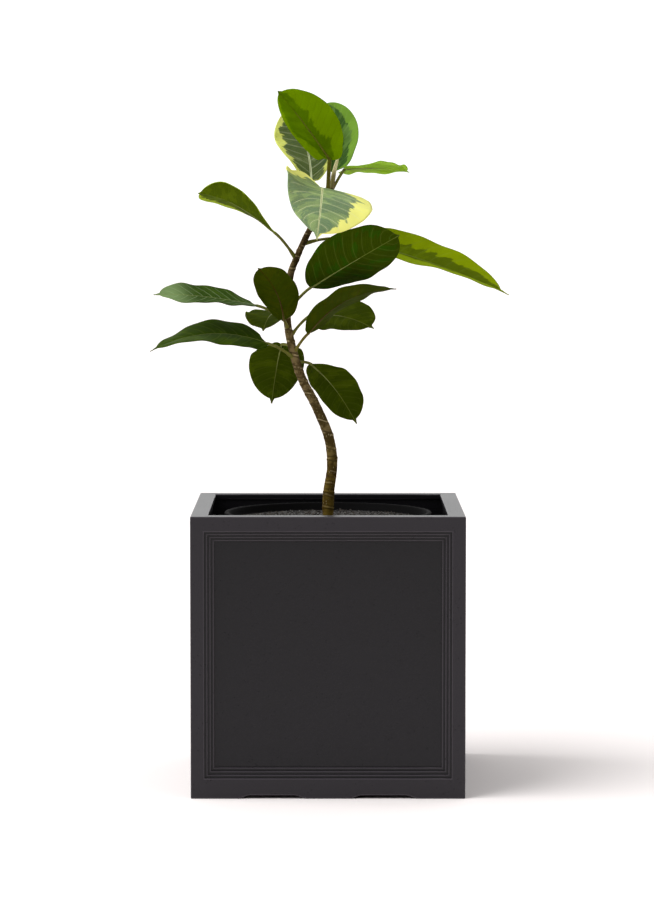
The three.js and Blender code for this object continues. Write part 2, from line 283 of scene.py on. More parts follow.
class Skin(Tree):
    """A material under construction, with a Principled shader."""

    def __init__(self, name: str) -> None:
        """Makes the material.

        Args:
            name: Its name.
        """
        self.material = bpy.data.materials.new(name)
        super().__init__(self.material)
        self.shader = self.nodes["Principled BSDF"]

    def finish(
        self, colour: Any, roughness: Any, height: Value | None = None, depth: float = 0.2 * MM
    ) -> None:
        """Feeds the shader.

        Args:
            colour: The base colour.
            roughness: The roughness.
            height: What the bump follows.
            depth: How high the bump's full height is, in metres.
        """
        self.feed(self.shader.inputs["Base Color"], colour)
        self.feed(self.shader.inputs["Roughness"], roughness)
        if height is not None:
            inputs = {"Height": height, "Distance": depth, "Strength": 1.0}
            bump = self.value("ShaderNodeBump", {}, inputs)
            self.feed(self.shader.inputs["Normal"], bump)

    def let_through(self, share: float, colour: Colour) -> None:
        """Lets some of the light through the piece.

        Args:
            share: How much of it.
            colour: The tint that it takes.
        """
        glow = self.value("ShaderNodeBsdfTranslucent", {}, {"Color": colour})
        skin = Value(self, self.shader.outputs[0])
        mixed = self.value("ShaderNodeMixShader", {}, {0: share, 1: skin, 2: glow})
        self.feed(self.nodes["Material Output"].inputs["Surface"], mixed)

    def constant(self, **settings: Any) -> None:
        """Sets the shader's own sockets, named with _ for a space."""
        for name, setting in settings.items():
            self.feed(self.shader.inputs[name.replace("_", " ")], setting)


# ------------------------------------------------------------------ finishes


@dataclass(frozen=True)
class CastStone:
    """Dark cast stone with a fine grain and small pits.

    The frame is painted paler, as lit; painted shade darkens the steps' creases and upper panels.

    Attributes:
        half: Half the planter's width.
        panel: How far in the panel's frame starts at the sides, and its low and high edges.
        steps: How many steps lead down to the panel.
        step_width: How wide each is.
        name: The material's name.
        dark: The stone's darker tone.
        pale: Its lighter tone.
        dust_and_highlight: The tone of dusty, rubbed stone, also used as painted light on the frame
            and the rounded edges.
        shaded: The painted shade that the panels take towards the top.
        pit_and_crease_shade: The tone of the pits, and the painted shade in the steps' creases.
        wear_and_highlight: How much of the stone is rubbed paler, 0 to 1; on the rounded edges this
            is also a painted highlight.
        frame_depth: How far back a surface may lie and still be painted paler as the frame is.
        shaded_from: The height in the middle of the rise of that painted shade.
    """

    half: float
    panel: tuple[float, float, float]
    steps: int
    step_width: float
    name: str = "planter_cast"
    dark: Colour = srgb(12, 11, 15)
    pale: Colour = srgb(23, 21, 26)
    dust_and_highlight: Colour = srgb(66, 61, 67)
    shaded: Colour = srgb(12, 11, 13)
    pit_and_crease_shade: Colour = srgb(6, 6, 7)
    wear_and_highlight: float = 0.0
    frame_depth: float = 1.5 * MM
    shaded_from: float = 0.2

    def crease_shade(self, tree: Skin, x: Value, y: Value, z: Value) -> Value:
        """Where a step of a panel meets the next one's wall, which is painted dark as shade.

        Args:
            tree: The material under construction.
            x: The place across one pair of sides.
            y: The place across the other pair.
            z: The height.

        Returns:
            The mask.
        """
        side, low, high = self.panel
        from_side = (self.half - side) - abs(x).least(abs(y))
        inset = from_side.least(z - low).least(high - z) * (1.0 / self.step_width)
        inside = inset.above(0.0, 0.02) * inset.below(self.steps - 0.7, 0.05)
        return inset.fraction().below(0.2, 0.2) * inside

    def material(self) -> Any:
        """Builds the material.

        Returns:
            The material.
        """
        tree = Skin(self.name)
        place = tree.place()
        x, y, z = tree.split(place)
        proud = abs(x).most(abs(y)).above(self.half - self.frame_depth, 1.0 * MM)
        crease_shade = self.crease_shade(tree, x, y, z)
        cloud = tree.noise(place, 7.0, 4.0)
        grain = tree.noise(place, 1100.0, 3.0, 0.7)
        sand = tree.noise(place, 330.0, 3.0, 0.6)
        pits = tree.cells(place, 190.0).below(0.16, 0.07)
        pits = pits * tree.noise(place, 60.0).above(0.52, 0.06)
        colour = tree.mix(cloud * 0.6 + sand * 0.3, self.dark, self.pale)
        colour = tree.mix(grain.above(0.62, 0.1) * 0.25, colour, self.dust_and_highlight)
        # Painted light: the frame that stands out is painted paler than the sunk panels.
        colour = tree.mix(proud * 0.22, colour, self.dust_and_highlight)
        # Painted shade: off the frame, the stone darkens towards the top.
        colour = tree.mix(z.above(self.shaded_from, 0.12) * (1.0 - proud) * 0.4, colour, self.shaded)
        # Rubbed paler; on the rounded edges this is also a painted highlight of the light they
        # catch.
        colour = tree.mix(self.wear_and_highlight, colour, self.dust_and_highlight)
        # The pits are darker stone; the steps' creases take painted shade.
        colour = tree.mix((pits * 0.5).most(crease_shade * 0.85), colour, self.pit_and_crease_shade)
        height = sand * 0.5 + grain * 0.3 - pits * 1.4
        tree.finish(colour, 0.27 + cloud * 0.06 + grain * 0.05, height, depth=0.14 * MM)
        tree.constant(Specular_IOR_Level=0.28)
        return tree.material


@dataclass(frozen=True)
class PotPlastic:
    """Black moulded plastic of the inner pot, with a slight haze.

    Attributes:
        name: The material's name.
        dark: The clean plastic's tone.
        pale: The haze's tone.
    """

    name: str = "inner_pot_plastic"
    dark: Colour = srgb(9, 9, 10)
    pale: Colour = srgb(17, 16, 16)

    def material(self) -> Any:
        """Builds the material.

        Returns:
            The material.
        """
        tree = Skin(self.name)
        place = tree.place()
        haze = tree.noise(place, 40.0, 3.0)
        grain = tree.noise(place, 1400.0, 2.0)
        colour = tree.mix(haze, self.dark, self.pale)
        tree.finish(colour, 0.6 + haze * 0.2, grain, depth=0.06 * MM)
        tree.constant(Specular_IOR_Level=0.03)
        return tree.material


@dataclass(frozen=True)
class Earth:
    """Potting mix: dark crumb with damp and dry patches.

    Attributes:
        name: The material's name.
        dark: The damp tone.
        pale: The dry tone.
        grain: How fine the crumb is: noise cells in a metre.
    """

    name: str
    dark: Colour
    pale: Colour
    grain: float

    def material(self) -> Any:
        """Builds the material.

        Returns:
            The material.
        """
        tree = Skin(self.name)
        place = tree.place()
        crumb = tree.noise(place, self.grain, 4.0, 0.7)
        patch = tree.noise(place, 18.0, 2.0)
        dry = (crumb * 0.7 + patch * 0.5 - 0.1).above(0.5, 0.28)
        colour = tree.mix(dry, self.dark, self.pale)
        tree.finish(colour, 0.86, crumb, depth=0.8 * MM)
        return tree.material


@dataclass(frozen=True)
class Bark:
    """Trunk skin: olive at the foot, grey brown, then dark brown young wood.

    Attributes:
        name: The material's name.
        scars_per_metre: How close the leaf scars' pale lines lie.
        foot_height: The height where the foot's tone ends.
        young_height: The height where the young wood starts.
        foot: The foot's darker and lighter tone.
        grey: The same of the older wood.
        young: The same of the young wood.
        ring: The tone of the fine rings.
        notch: The tone of the dark line beside a scar.
        scar: The tone of scars and pores.
    """

    name: str = "bark"
    scars_per_metre: float = 68.0
    foot_height: float = 0.36
    young_height: float = 0.62
    foot: tuple[Colour, Colour] = (srgb(60, 44, 6), srgb(100, 82, 30))
    grey: tuple[Colour, Colour] = (srgb(66, 54, 26), srgb(116, 100, 66))
    young: tuple[Colour, Colour] = (srgb(50, 38, 18), srgb(104, 86, 56))
    ring: Colour = srgb(58, 42, 26)
    notch: Colour = srgb(34, 24, 8)
    scar: Colour = srgb(176, 160, 122)

    def material(self) -> Any:
        """Builds the material.

        Returns:
            The material.
        """
        tree = Skin(self.name)
        place = tree.place()
        x, y, z = tree.split(place)
        mottle = tree.noise(place, 75.0, 4.0, 0.65)
        fibre = tree.noise(tree.join(x * 3.0, y * 3.0, z * 0.5), 260.0, 4.0, 0.7)
        rings = tree.noise(tree.join(x * 0.2, y * 0.2, z), 330.0, 3.0, 0.6)
        spots = tree.cells(tree.join(x, y, z * 0.45), 420.0).below(0.2, 0.08)
        spots = spots * tree.noise(place, 130.0).above(0.55, 0.05)
        level = z * self.scars_per_metre + x * 12.0 + tree.noise(place, 60.0, 2.0) * 0.5
        from_scar = abs(level.fraction() - 0.5)
        scar = from_scar.below(0.05, 0.04) * tree.noise(place, 110.0).above(0.48, 0.06)
        notch = abs(from_scar - 0.14).below(0.05, 0.04) * mottle.above(0.5, 0.05)
        grey = tree.mix(mottle.above(0.52, 0.1), *self.grey)
        foot = tree.mix(mottle.above(0.5, 0.14), *self.foot)
        young = tree.mix(mottle.above(0.52, 0.12), *self.young)
        colour = tree.mix(z.above(self.foot_height + 0.04, 0.05), foot, grey)
        colour = tree.mix(z.above(self.young_height, 0.06), colour, young)
        colour = tree.mix(rings.above(0.6, 0.06) * 0.45, colour, self.ring)
        colour = tree.mix(notch * 0.6, colour, self.notch)
        marks = (spots * 0.7).most(scar * z.above(self.foot_height, 0.1) * 0.6)
        colour = tree.mix(marks, colour, self.scar)
        height = fibre * 0.5 + rings * 0.8 + spots * 0.9 + mottle * 0.4
        tree.finish(colour, 0.66 + mottle * 0.2, height, depth=0.6 * MM)
        tree.constant(Specular_IOR_Level=0.05)
        return tree.material


@dataclass(frozen=True)
class BladeFinish:
    """The skin of one side of a leaf, painted in the leaf's own map.

    Attributes:
        heart: The colour of the middle of the blade.
        patch: The second colour of the middle, in streaks along the veins.
        margin: The colour of the variegated edge.
        vein: The colour of the midrib and side veins.
        margin_from: How far out the margin starts, from 0 at the midrib to 1 at the edge.
        lean: How much further out it starts on one half, past the base.
        patches: How much of the heart the patches take, 0 to 1.
        veins: How strongly the side veins show.
        rib: Half the midrib's width at the base, in millimetres.
        tip_from: The share of the blade past which the whole width takes the margin's colour, used
            to paint the sheen on a tip.
        gloss: The roughness.
        sheen: The strength of the reflection.
        seed: Shifts the pattern.
    """

    heart: Colour
    patch: Colour
    margin: Colour
    vein: Colour
    margin_from: float = 2.0
    lean: float = 0.0
    patches: float = 0.45
    veins: float = 0.5
    rib: float = 0.55
    tip_from: float = 2.0
    gloss: float = 0.4
    sheen: float = 0.004
    seed: float = 0.0

    def material(self, name: str, side_veins: int, glow: float) -> Any:
        """Builds the material.

        Args:
            name: The material's name.
            side_veins: How many veins leave the midrib on each side.
            glow: How much of the light passes through.

        Returns:
            The material.
        """
        tree = Skin(name)
        along, across = tree.map("Leaf")
        _, span = tree.map("Span")
        out = abs(across * 2.0 - 1.0)
        side = (across - 0.5).above(0.0, 0.001)
        wobble = tree.noise(tree.join(along * 2.5, out * 1.2, side * 5.0 + self.seed), 1.0) * 0.03
        phase = (along - out**VEIN_BEND * VEIN_SLANT + wobble) * float(side_veins) + side * 0.5

        streak_at = tree.join(phase * 0.9, out * 1.1, side * 7.0 + self.seed)
        streaks = tree.noise(streak_at, 1.7, 3.0, 0.6)
        broad = tree.noise(streak_at, 0.45, 2.0)
        edge = out + (streaks - 0.5) * 0.75 + (broad - 0.5) * 0.5
        edge = edge - side * along.above(0.3, 0.14) * self.lean
        # Past a share of the blade the whole width may take the margin's colour, which paints a
        # sheen on the tip.
        margin = edge.above(self.margin_from, 0.02).most(along.above(self.tip_from, 0.14))
        patch_at = tree.join(phase * 0.55 + 9.0, out * 0.9, side * 3.0 + self.seed * 1.7)
        patch_mask = tree.noise(patch_at, 1.5, 3.0, 0.55).above(1.0 - self.patches, 0.02)

        place = tree.place()
        cloud = tree.noise(place, 45.0, 3.0)
        fleck = tree.noise(place, 1500.0, 2.0)
        heart = tree.mix(patch_mask, self.heart, self.patch)
        heart = tree.mix(cloud.above(0.52, 0.2) * 0.45, heart, scaled(self.heart, 0.62))
        rim = tree.mix(cloud.above(0.5, 0.15) * 0.4, self.margin, scaled(self.margin, 0.8))
        colour = tree.mix(margin, heart, rim)

        from_vein = abs(phase.fraction() - 0.5)
        side_vein = from_vein.below(0.026, 0.022) * out.below(0.88, 0.12)
        fine = abs((phase * 4.0).fraction() - 0.5).below(0.09, 0.08) * 0.18
        from_rib = abs(span) * SPAN_UNIT_MM + along * self.rib * 0.7
        midrib = from_rib.below(self.rib, 0.3)
        veins = (side_vein.most(fine) * self.veins).most(midrib)
        colour = tree.mix(veins, colour, self.vein)
        colour = tree.mix(fleck.above(0.6, 0.2) * 0.12, colour, self.margin)

        quilt = from_vein.above(0.1, 0.1)
        height = quilt * 0.6 + fleck * 0.06 + cloud * 0.4
        tree.finish(colour, self.gloss + cloud * 0.12 - 0.06, height)
        tree.constant(Specular_IOR_Level=self.sheen)
        tree.let_through(glow, scaled(self.mean(), 2.2))
        return tree.material

    def mean(self) -> Colour:
        """The colour halfway between the heart and the margin."""
        share = 0.5 if self.margin_from < 1 else 0.0
        return tuple(lerp(heart, margin, share) for heart, margin in zip(self.heart, self.margin))


@dataclass(frozen=True)
class StalkFinish:
    """The leaf stalk and the raised midrib under the blade.

    Attributes:
        foot: The colour near the stem.
        rib: The colour along the blade.
    """

    foot: Colour
    rib: Colour

    def material(self, name: str) -> Any:
        """Builds the material.

        Args:
            name: The material's name.

        Returns:
            The material.
        """
        tree = Skin(name)
        along, _ = tree.map("Leaf")
        place = tree.place()
        mottle = tree.noise(place, 160.0, 3.0)
        colour = tree.mix(along.above(0.35, 0.2), self.foot, self.rib)
        colour = tree.mix(mottle.above(0.55, 0.12) * 0.4, colour, scaled(self.foot, 0.55))
        tree.finish(colour, 0.45, mottle)
        tree.constant(Specular_IOR_Level=0.06)
        return tree.material


@dataclass(frozen=True)
class Sheath:
    """The papery sheath of the bud, cream with an olive foot and a brown seam and point.

    Attributes:
        name: The material's name.
        cream: The sheath's darker and lighter tone.
        foot: The foot's colour.
        brown: The colour of the seam and the point.
    """

    name: str = "bud_sheath"
    cream: tuple[Colour, Colour] = (srgb(206, 196, 136), srgb(232, 224, 176))
    foot: Colour = srgb(108, 100, 42)
    brown: Colour = srgb(112, 84, 34)

    def material(self) -> Any:
        """Builds the material.

        Returns:
            The material.
        """
        tree = Skin(self.name)
        along, around = tree.map("Leaf")
        place = tree.place()
        mottle = tree.noise(place, 220.0, 3.0)
        seam = abs((around + along * 0.35).fraction() - 0.5).below(0.12, 0.08)
        brown = along.above(0.86, 0.1).most(seam)
        colour = tree.mix(mottle, *self.cream)
        colour = tree.mix(along.below(0.42, 0.14), colour, self.foot)
        colour = tree.mix(brown, colour, self.brown)
        tree.finish(colour, 0.5, mottle)
        return tree.material


# ------------------------------------------------------------------ mesh helpers


def new_piece(name: str, bm: Any, materials: list[Any], shade_smooth: bool = True) -> Any:
    """Turns a bmesh into a finished object.

    Args:
        name: The object's name.
        bm: The bmesh, which is freed.
        materials: The material slots in order.
        shade_smooth: Whether its faces are shaded smooth.

    Returns:
        The object, riding on the part's one body.
    """
    mesh = bpy.data.meshes.new(name)
    for face in bm.faces:
        face.smooth = shade_smooth
    bm.to_mesh(mesh)
    bm.free()
    piece = bpy.data.objects.new(name, mesh)
    bpy.context.collection.objects.link(piece)
    for material in materials:
        mesh.materials.append(material)
    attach(piece, "root")
    return piece


def add_sheet(bm: Any, along: int, across: int, place: Placer, slot: int = 0) -> list[Any]:
    """Adds a grid bent to shape by a function of its two shares, which its map keeps.

    Args:
        bm: The bmesh.
        along: How many faces long.
        across: How many faces wide.
        place: Gives a point from the shares along and across, 0 to 1.
        slot: The material slot of its faces.

    Returns:
        Its vertices.
    """
    layer = bm.loops.layers.uv.get("Leaf") or bm.loops.layers.uv.new("Leaf")
    made = bmesh.ops.create_grid(bm, x_segments=along, y_segments=across, size=0.5)["verts"]
    faces = {face for vertex in made for face in vertex.link_faces}
    for face in faces:
        face.material_index = slot
        for loop in face.loops:
            loop[layer].uv = (loop.vert.co.x + 0.5, loop.vert.co.y + 0.5)
    for vertex in made:
        vertex.co = place(vertex.co.x + 0.5, vertex.co.y + 0.5)
    return made


def add_tube(bm: Any, along: int, around: int, place: Placer, slot: int = 0) -> None:
    """Adds a closed tube: a bent sheet whose long edges are welded and ends capped.

    Args:
        bm: The bmesh.
        along: How many faces long.
        around: How many faces around.
        place: Gives a point from the shares along and around, 0 to 1.
        slot: The material slot of its faces.
    """
    made = add_sheet(bm, along, around, place, slot)
    bmesh.ops.remove_doubles(bm, verts=made, dist=0.0001 * MM)
    made = [vertex for vertex in made if vertex.is_valid]
    rims = list({edge for vertex in made for edge in vertex.link_edges if edge.is_boundary})
    caps = bmesh.ops.holes_fill(bm, edges=rims, sides=around + 2)["faces"]
    for face in caps:
        face.material_index = slot
    faces = {face for vertex in made for face in vertex.link_faces}
    bmesh.ops.recalc_face_normals(bm, faces=list(faces))


def add_turned(bm: Any, outline: list[tuple[float, float]], sides: int) -> None:
    """Turns an outline of radius and height, from axis to axis, about Z.

    Args:
        bm: The bmesh.
        outline: The points.
        sides: How many steps make the full turn.
    """
    points = [bm.verts.new((radius, 0.0, height)) for radius, height in outline]
    edges = [bm.edges.new(pair) for pair in zip(points, points[1:])]
    bmesh.ops.spin(
        bm, geom=points + edges, cent=(0, 0, 0), axis=(0, 0, 1), angle=math.tau,
        steps=sides, use_merge=True,
    )
    bmesh.ops.remove_doubles(bm, verts=bm.verts, dist=0.001 * MM)
    bmesh.ops.recalc_face_normals(bm, faces=bm.faces)


def set_back(bm: Any, faces: list[Any], move: Any, spread: float = 1.0) -> list[Any]:
    """Moves faces into a block, with walls behind them.

    Args:
        bm: The bmesh.
        faces: The faces, which are replaced.
        move: How far they move.
        spread: How much wider they become, across Z.

    Returns:
        The moved faces.
    """
    grown = bmesh.ops.extrude_face_region(bm, geom=faces)["geom"]
    bmesh.ops.delete(bm, geom=faces, context="FACES_ONLY")
    moved = [item for item in grown if isinstance(item, bmesh.types.BMFace)]
    verts = list({vertex for face in moved for vertex in face.verts})
    bmesh.ops.translate(bm, verts=verts, vec=move)
    bmesh.ops.scale(bm, verts=verts, vec=(spread, spread, 1.0))
    return moved


class SmoothPath:
    """A curve through points, each as far along as its number."""

    def __init__(self, points: list[Vector]) -> None:
        """Keeps the points and runs the ends on."""
        self.points = [points[0] * 2 - points[1], *points, points[-1] * 2 - points[-2]]
        self.spans = len(points) - 1

    def at(self, share: float) -> Vector:
        """The point at a share of the way.

        Args:
            share: The share, 0 to 1.

        Returns:
            The point.
        """
        place = min(max(share, 0.0), 1.0) * self.spans
        index = min(int(place), self.spans - 1)
        part = place - index
        before, start, end, after = self.points[index : index + 4]
        return 0.5 * (
            2 * start
            + (end - before) * part
            + (2 * before - 5 * start + 4 * end - after) * part**2
            + (3 * start - before - 3 * end + after) * part**3
        )

    def direction(self, share: float) -> Vector:
        """The unit direction at a share of the way."""
        step = 0.004
        return (self.at(share + step) - self.at(share - step)).normalized()

    def share_at_height(self, height: float) -> float:
        """Finds the share where the curve passes a height, by halving.

        Args:
            height: The height.

        Returns:
            The share.
        """
        halvings = 30
        low, high = 0.0, 1.0
        for _ in range(halvings):
            middle = (low + high) / 2
            if self.at(middle).z < height:
                low = middle
            else:
                high = middle
        return low


# ------------------------------------------------------------------ planter


@dataclass
class Planter:
    """The cast square planter with a stepped frame around each panel.

    Attributes:
        frame_side: The frame's width at the sides.
        frame_top: Its height at the top.
        frame_bottom: Its height at the bottom.
        rim: The flat rim's width.
        lip: The rim's thickness, where it overhangs the cavity.
        overhang: How far it overhangs.
        floor: The floor's thickness.
        steps: How many steps lead down to a panel.
        step_width: How wide each is.
        step_depth: How deep each is.
        pad_corner: How far a corner pad reaches in from the side.
        pad_width: The middle pads' width.
        channel: The height of the drainage channels between the pads.
        channel_ease: The length over which a channel rises.
        edge_radius: How round the edges are that stand out.
        edge_angle: The least angle of such an edge, in degrees.
    """

    frame_side: float = 16 * MM
    frame_top: float = 18 * MM
    frame_bottom: float = 24 * MM
    rim: float = 20 * MM
    lip: float = 7 * MM
    overhang: float = 3 * MM
    floor: float = 26 * MM
    steps: int = 4
    step_width: float = 3.75 * MM
    step_depth: float = 3 * MM
    pad_corner: float = 55 * MM
    pad_width: float = 50 * MM
    channel: float = 4 * MM
    channel_ease: float = 14 * MM
    edge_radius: float = 1.3 * MM
    edge_angle: float = 30.0

    def build(self) -> Any:
        """Builds the planter in the place of its CAD node.

        Returns:
            The planter.
        """
        low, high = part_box("planter")
        self.half = (high[0] - low[0]) / 2
        self.height = high[2]
        bm = bmesh.new()
        bmesh.ops.create_cube(bm, size=1.0)
        size = Matrix.Diagonal((2 * self.half, 2 * self.half, self.height, 1.0))
        shape = Matrix.Translation((0, 0, self.height / 2)) @ size
        bmesh.ops.transform(bm, matrix=shape, verts=bm.verts)
        self.cut_for_channels(bm)
        for normal in (Vector((0, -1, 0)), Vector((1, 0, 0)), Vector((0, 1, 0)), Vector((-1, 0, 0))):
            self.sink_panel(bm, normal)
        self.hollow(bm)
        self.lift_channels(bm)
        bm.normal_update()
        self.mark_worn_edges(bm)
        panel = (self.frame_side, self.frame_bottom, self.height - self.frame_top)
        stone = CastStone(self.half, panel, self.steps, self.step_width)
        # The rounded edges take a paler copy: worn stone, and a painted highlight.
        finishes = [stone, replace(stone, name="planter_worn_edge_highlight", wear_and_highlight=0.65)]
        materials = [finish.material() for finish in finishes]
        piece = new_piece("planter_body", bm, materials)
        bevel = piece.modifiers.new("soft edges", "BEVEL")
        bevel.material = 1
        bevel.width = self.edge_radius
        bevel.segments = 3
        bevel.limit_method = "WEIGHT"
        bevel.harden_normals = True
        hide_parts("planter")
        return piece

    def mark_worn_edges(self, bm: Any) -> None:
        """Marks the edges that stand out, which the mould and handling round off.

        Args:
            bm: The block.
        """
        weight = bm.edges.layers.float.new("bevel_weight_edge")
        for edge in bm.edges:
            sharp = edge.calc_face_angle(0.0) > math.radians(self.edge_angle)
            edge.smooth = not sharp
            edge[weight] = 1.0 if sharp and edge.is_convex else 0.0

    def channel_edges(self) -> list[float]:
        """Finds the places across the floor where a channel's profile bends.

        Returns:
            The places, on both sides of the middle.
        """
        inner = self.pad_width / 2
        outer = self.half - self.pad_corner
        shares = [0.0, 0.25, 0.5, 0.75, 1.0]
        rise = [inner + share * self.channel_ease for share in shares]
        fall = [outer - share * self.channel_ease for share in shares]
        return [sign * place for place in rise + fall for sign in (-1, 1)]

    def cut_for_channels(self, bm: Any) -> None:
        """Cuts the block where the channels' profiles bend.

        Args:
            bm: The block.
        """
        for place in self.channel_edges():
            for axis in (Vector((1, 0, 0)), Vector((0, 1, 0))):
                geometry = bm.verts[:] + bm.edges[:] + bm.faces[:]
                bmesh.ops.bisect_plane(bm, geom=geometry, plane_co=axis * place, plane_no=axis)

    def rise(self, place: float) -> float:
        """Finds how high a channel's roof is at a place across the floor.

        Args:
            place: The distance from the middle.

        Returns:
            The height, which is none at the pads.
        """
        out = abs(place)
        inner = self.pad_width / 2
        outer = self.half - self.pad_corner
        up = smooth(inner, inner + self.channel_ease, out)
        down = smooth(outer, outer - self.channel_ease, out) if out < outer else 0.0
        return self.channel * min(up, down)

    def lift_channels(self, bm: Any) -> None:
        """Raises the underside into the channels, along both ways.

        Args:
            bm: The block.
        """
        for vertex in bm.verts:
            if vertex.co.z < TOUCH:
                vertex.co.z = max(self.rise(vertex.co.x), self.rise(vertex.co.y))

    def sink_panel(self, bm: Any, normal: Vector) -> None:
        """Sets one side's panel back in steps.

        Args:
            bm: The block.
            normal: The way that the side faces.
        """
        outer = self.half - TOUCH
        faces = [face for face in bm.faces if face.calc_center_median().dot(normal) > outer]
        bmesh.ops.inset_region(bm, faces=faces, thickness=self.frame_side, use_even_offset=True)
        low = self.frame_side
        high = self.height - self.frame_side
        for vertex in {vertex for face in faces for vertex in face.verts}:
            if abs(vertex.co.z - low) < TOUCH:
                vertex.co.z = self.frame_bottom
            elif abs(vertex.co.z - high) < TOUCH:
                vertex.co.z = self.height - self.frame_top
        inset = {"thickness": self.step_width, "use_even_offset": True}
        for step in range(self.steps):
            if step:
                bmesh.ops.inset_region(bm, faces=faces, **inset)
            faces = set_back(bm, faces, -normal * self.step_depth)

    def hollow(self, bm: Any) -> None:
        """Opens the top: a flat rim, a lip, and the cavity behind it.

        Args:
            bm: The block.
        """
        top = self.height - TOUCH
        faces = [face for face in bm.faces if face.calc_center_median().z > top]
        bmesh.ops.inset_region(bm, faces=faces, thickness=self.rim, use_even_offset=True)
        wide = 1 + self.overhang / (self.half - self.rim)
        below_lip = self.height - self.lip - self.floor
        for drop, spread in ((self.lip, 1.0), (0.0, wide), (below_lip, 1.0)):
            faces = set_back(bm, faces, (0, 0, -drop), spread)


# ------------------------------------------------------------------ inner pot and soil


@dataclass
class InnerPot:
    """The round nursery pot that stands inside the planter.

    Attributes:
        foot_radius: The radius at the foot.
        wall: The wall's thickness.
        lip_width: How far the lip stands out.
        lip_height: How deep it is.
        foot_round: How round the foot's edge is.
        lip_round: How round the lip's lower edge is.
        rim_round: How round the rim's edges are.
        sides: How many flat sides make it round.
    """

    foot_radius: float = 104 * MM
    wall: float = 2 * MM
    lip_width: float = 4 * MM
    lip_height: float = 9 * MM
    foot_round: float = 2 * MM
    lip_round: float = 0.8 * MM
    rim_round: float = 1.2 * MM
    sides: int = 96

    def build(self) -> Any:
        """Builds the pot in the place of its CAD node.

        Returns:
            The pot.
        """
        low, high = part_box("nursery_pot")
        bottom, top = low[2], high[2]
        shelf = top - self.lip_height
        rim = high[0]
        outside = rim - self.lip_width
        inside = outside - self.wall
        outline = [
            (0.0, bottom),
            (self.foot_radius - self.foot_round, bottom),
            (self.foot_radius, bottom + self.foot_round),
            (outside, shelf),
            (rim - self.lip_round, shelf),
            (rim, shelf + self.lip_round),
            (rim, top - self.rim_round),
            (rim - self.rim_round, top),
            (inside + self.rim_round, top),
            (inside, top - self.rim_round),
            (self.foot_radius - self.wall, bottom + self.wall),
            (0.0, bottom + self.wall),
        ]
        bm = bmesh.new()
        add_turned(bm, outline, self.sides)
        piece = new_piece("inner_pot", bm, [PotPlastic().material()])
        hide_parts("nursery_pot")
        return piece


class Crumb(Enum):
    """What lies in the potting mix: material slot, share, and size in metres."""

    PEAT = (0, 0.50, 0.0026)
    BARK = (1, 0.26, 0.0040)
    PUMICE = (2, 0.24, 0.0024)


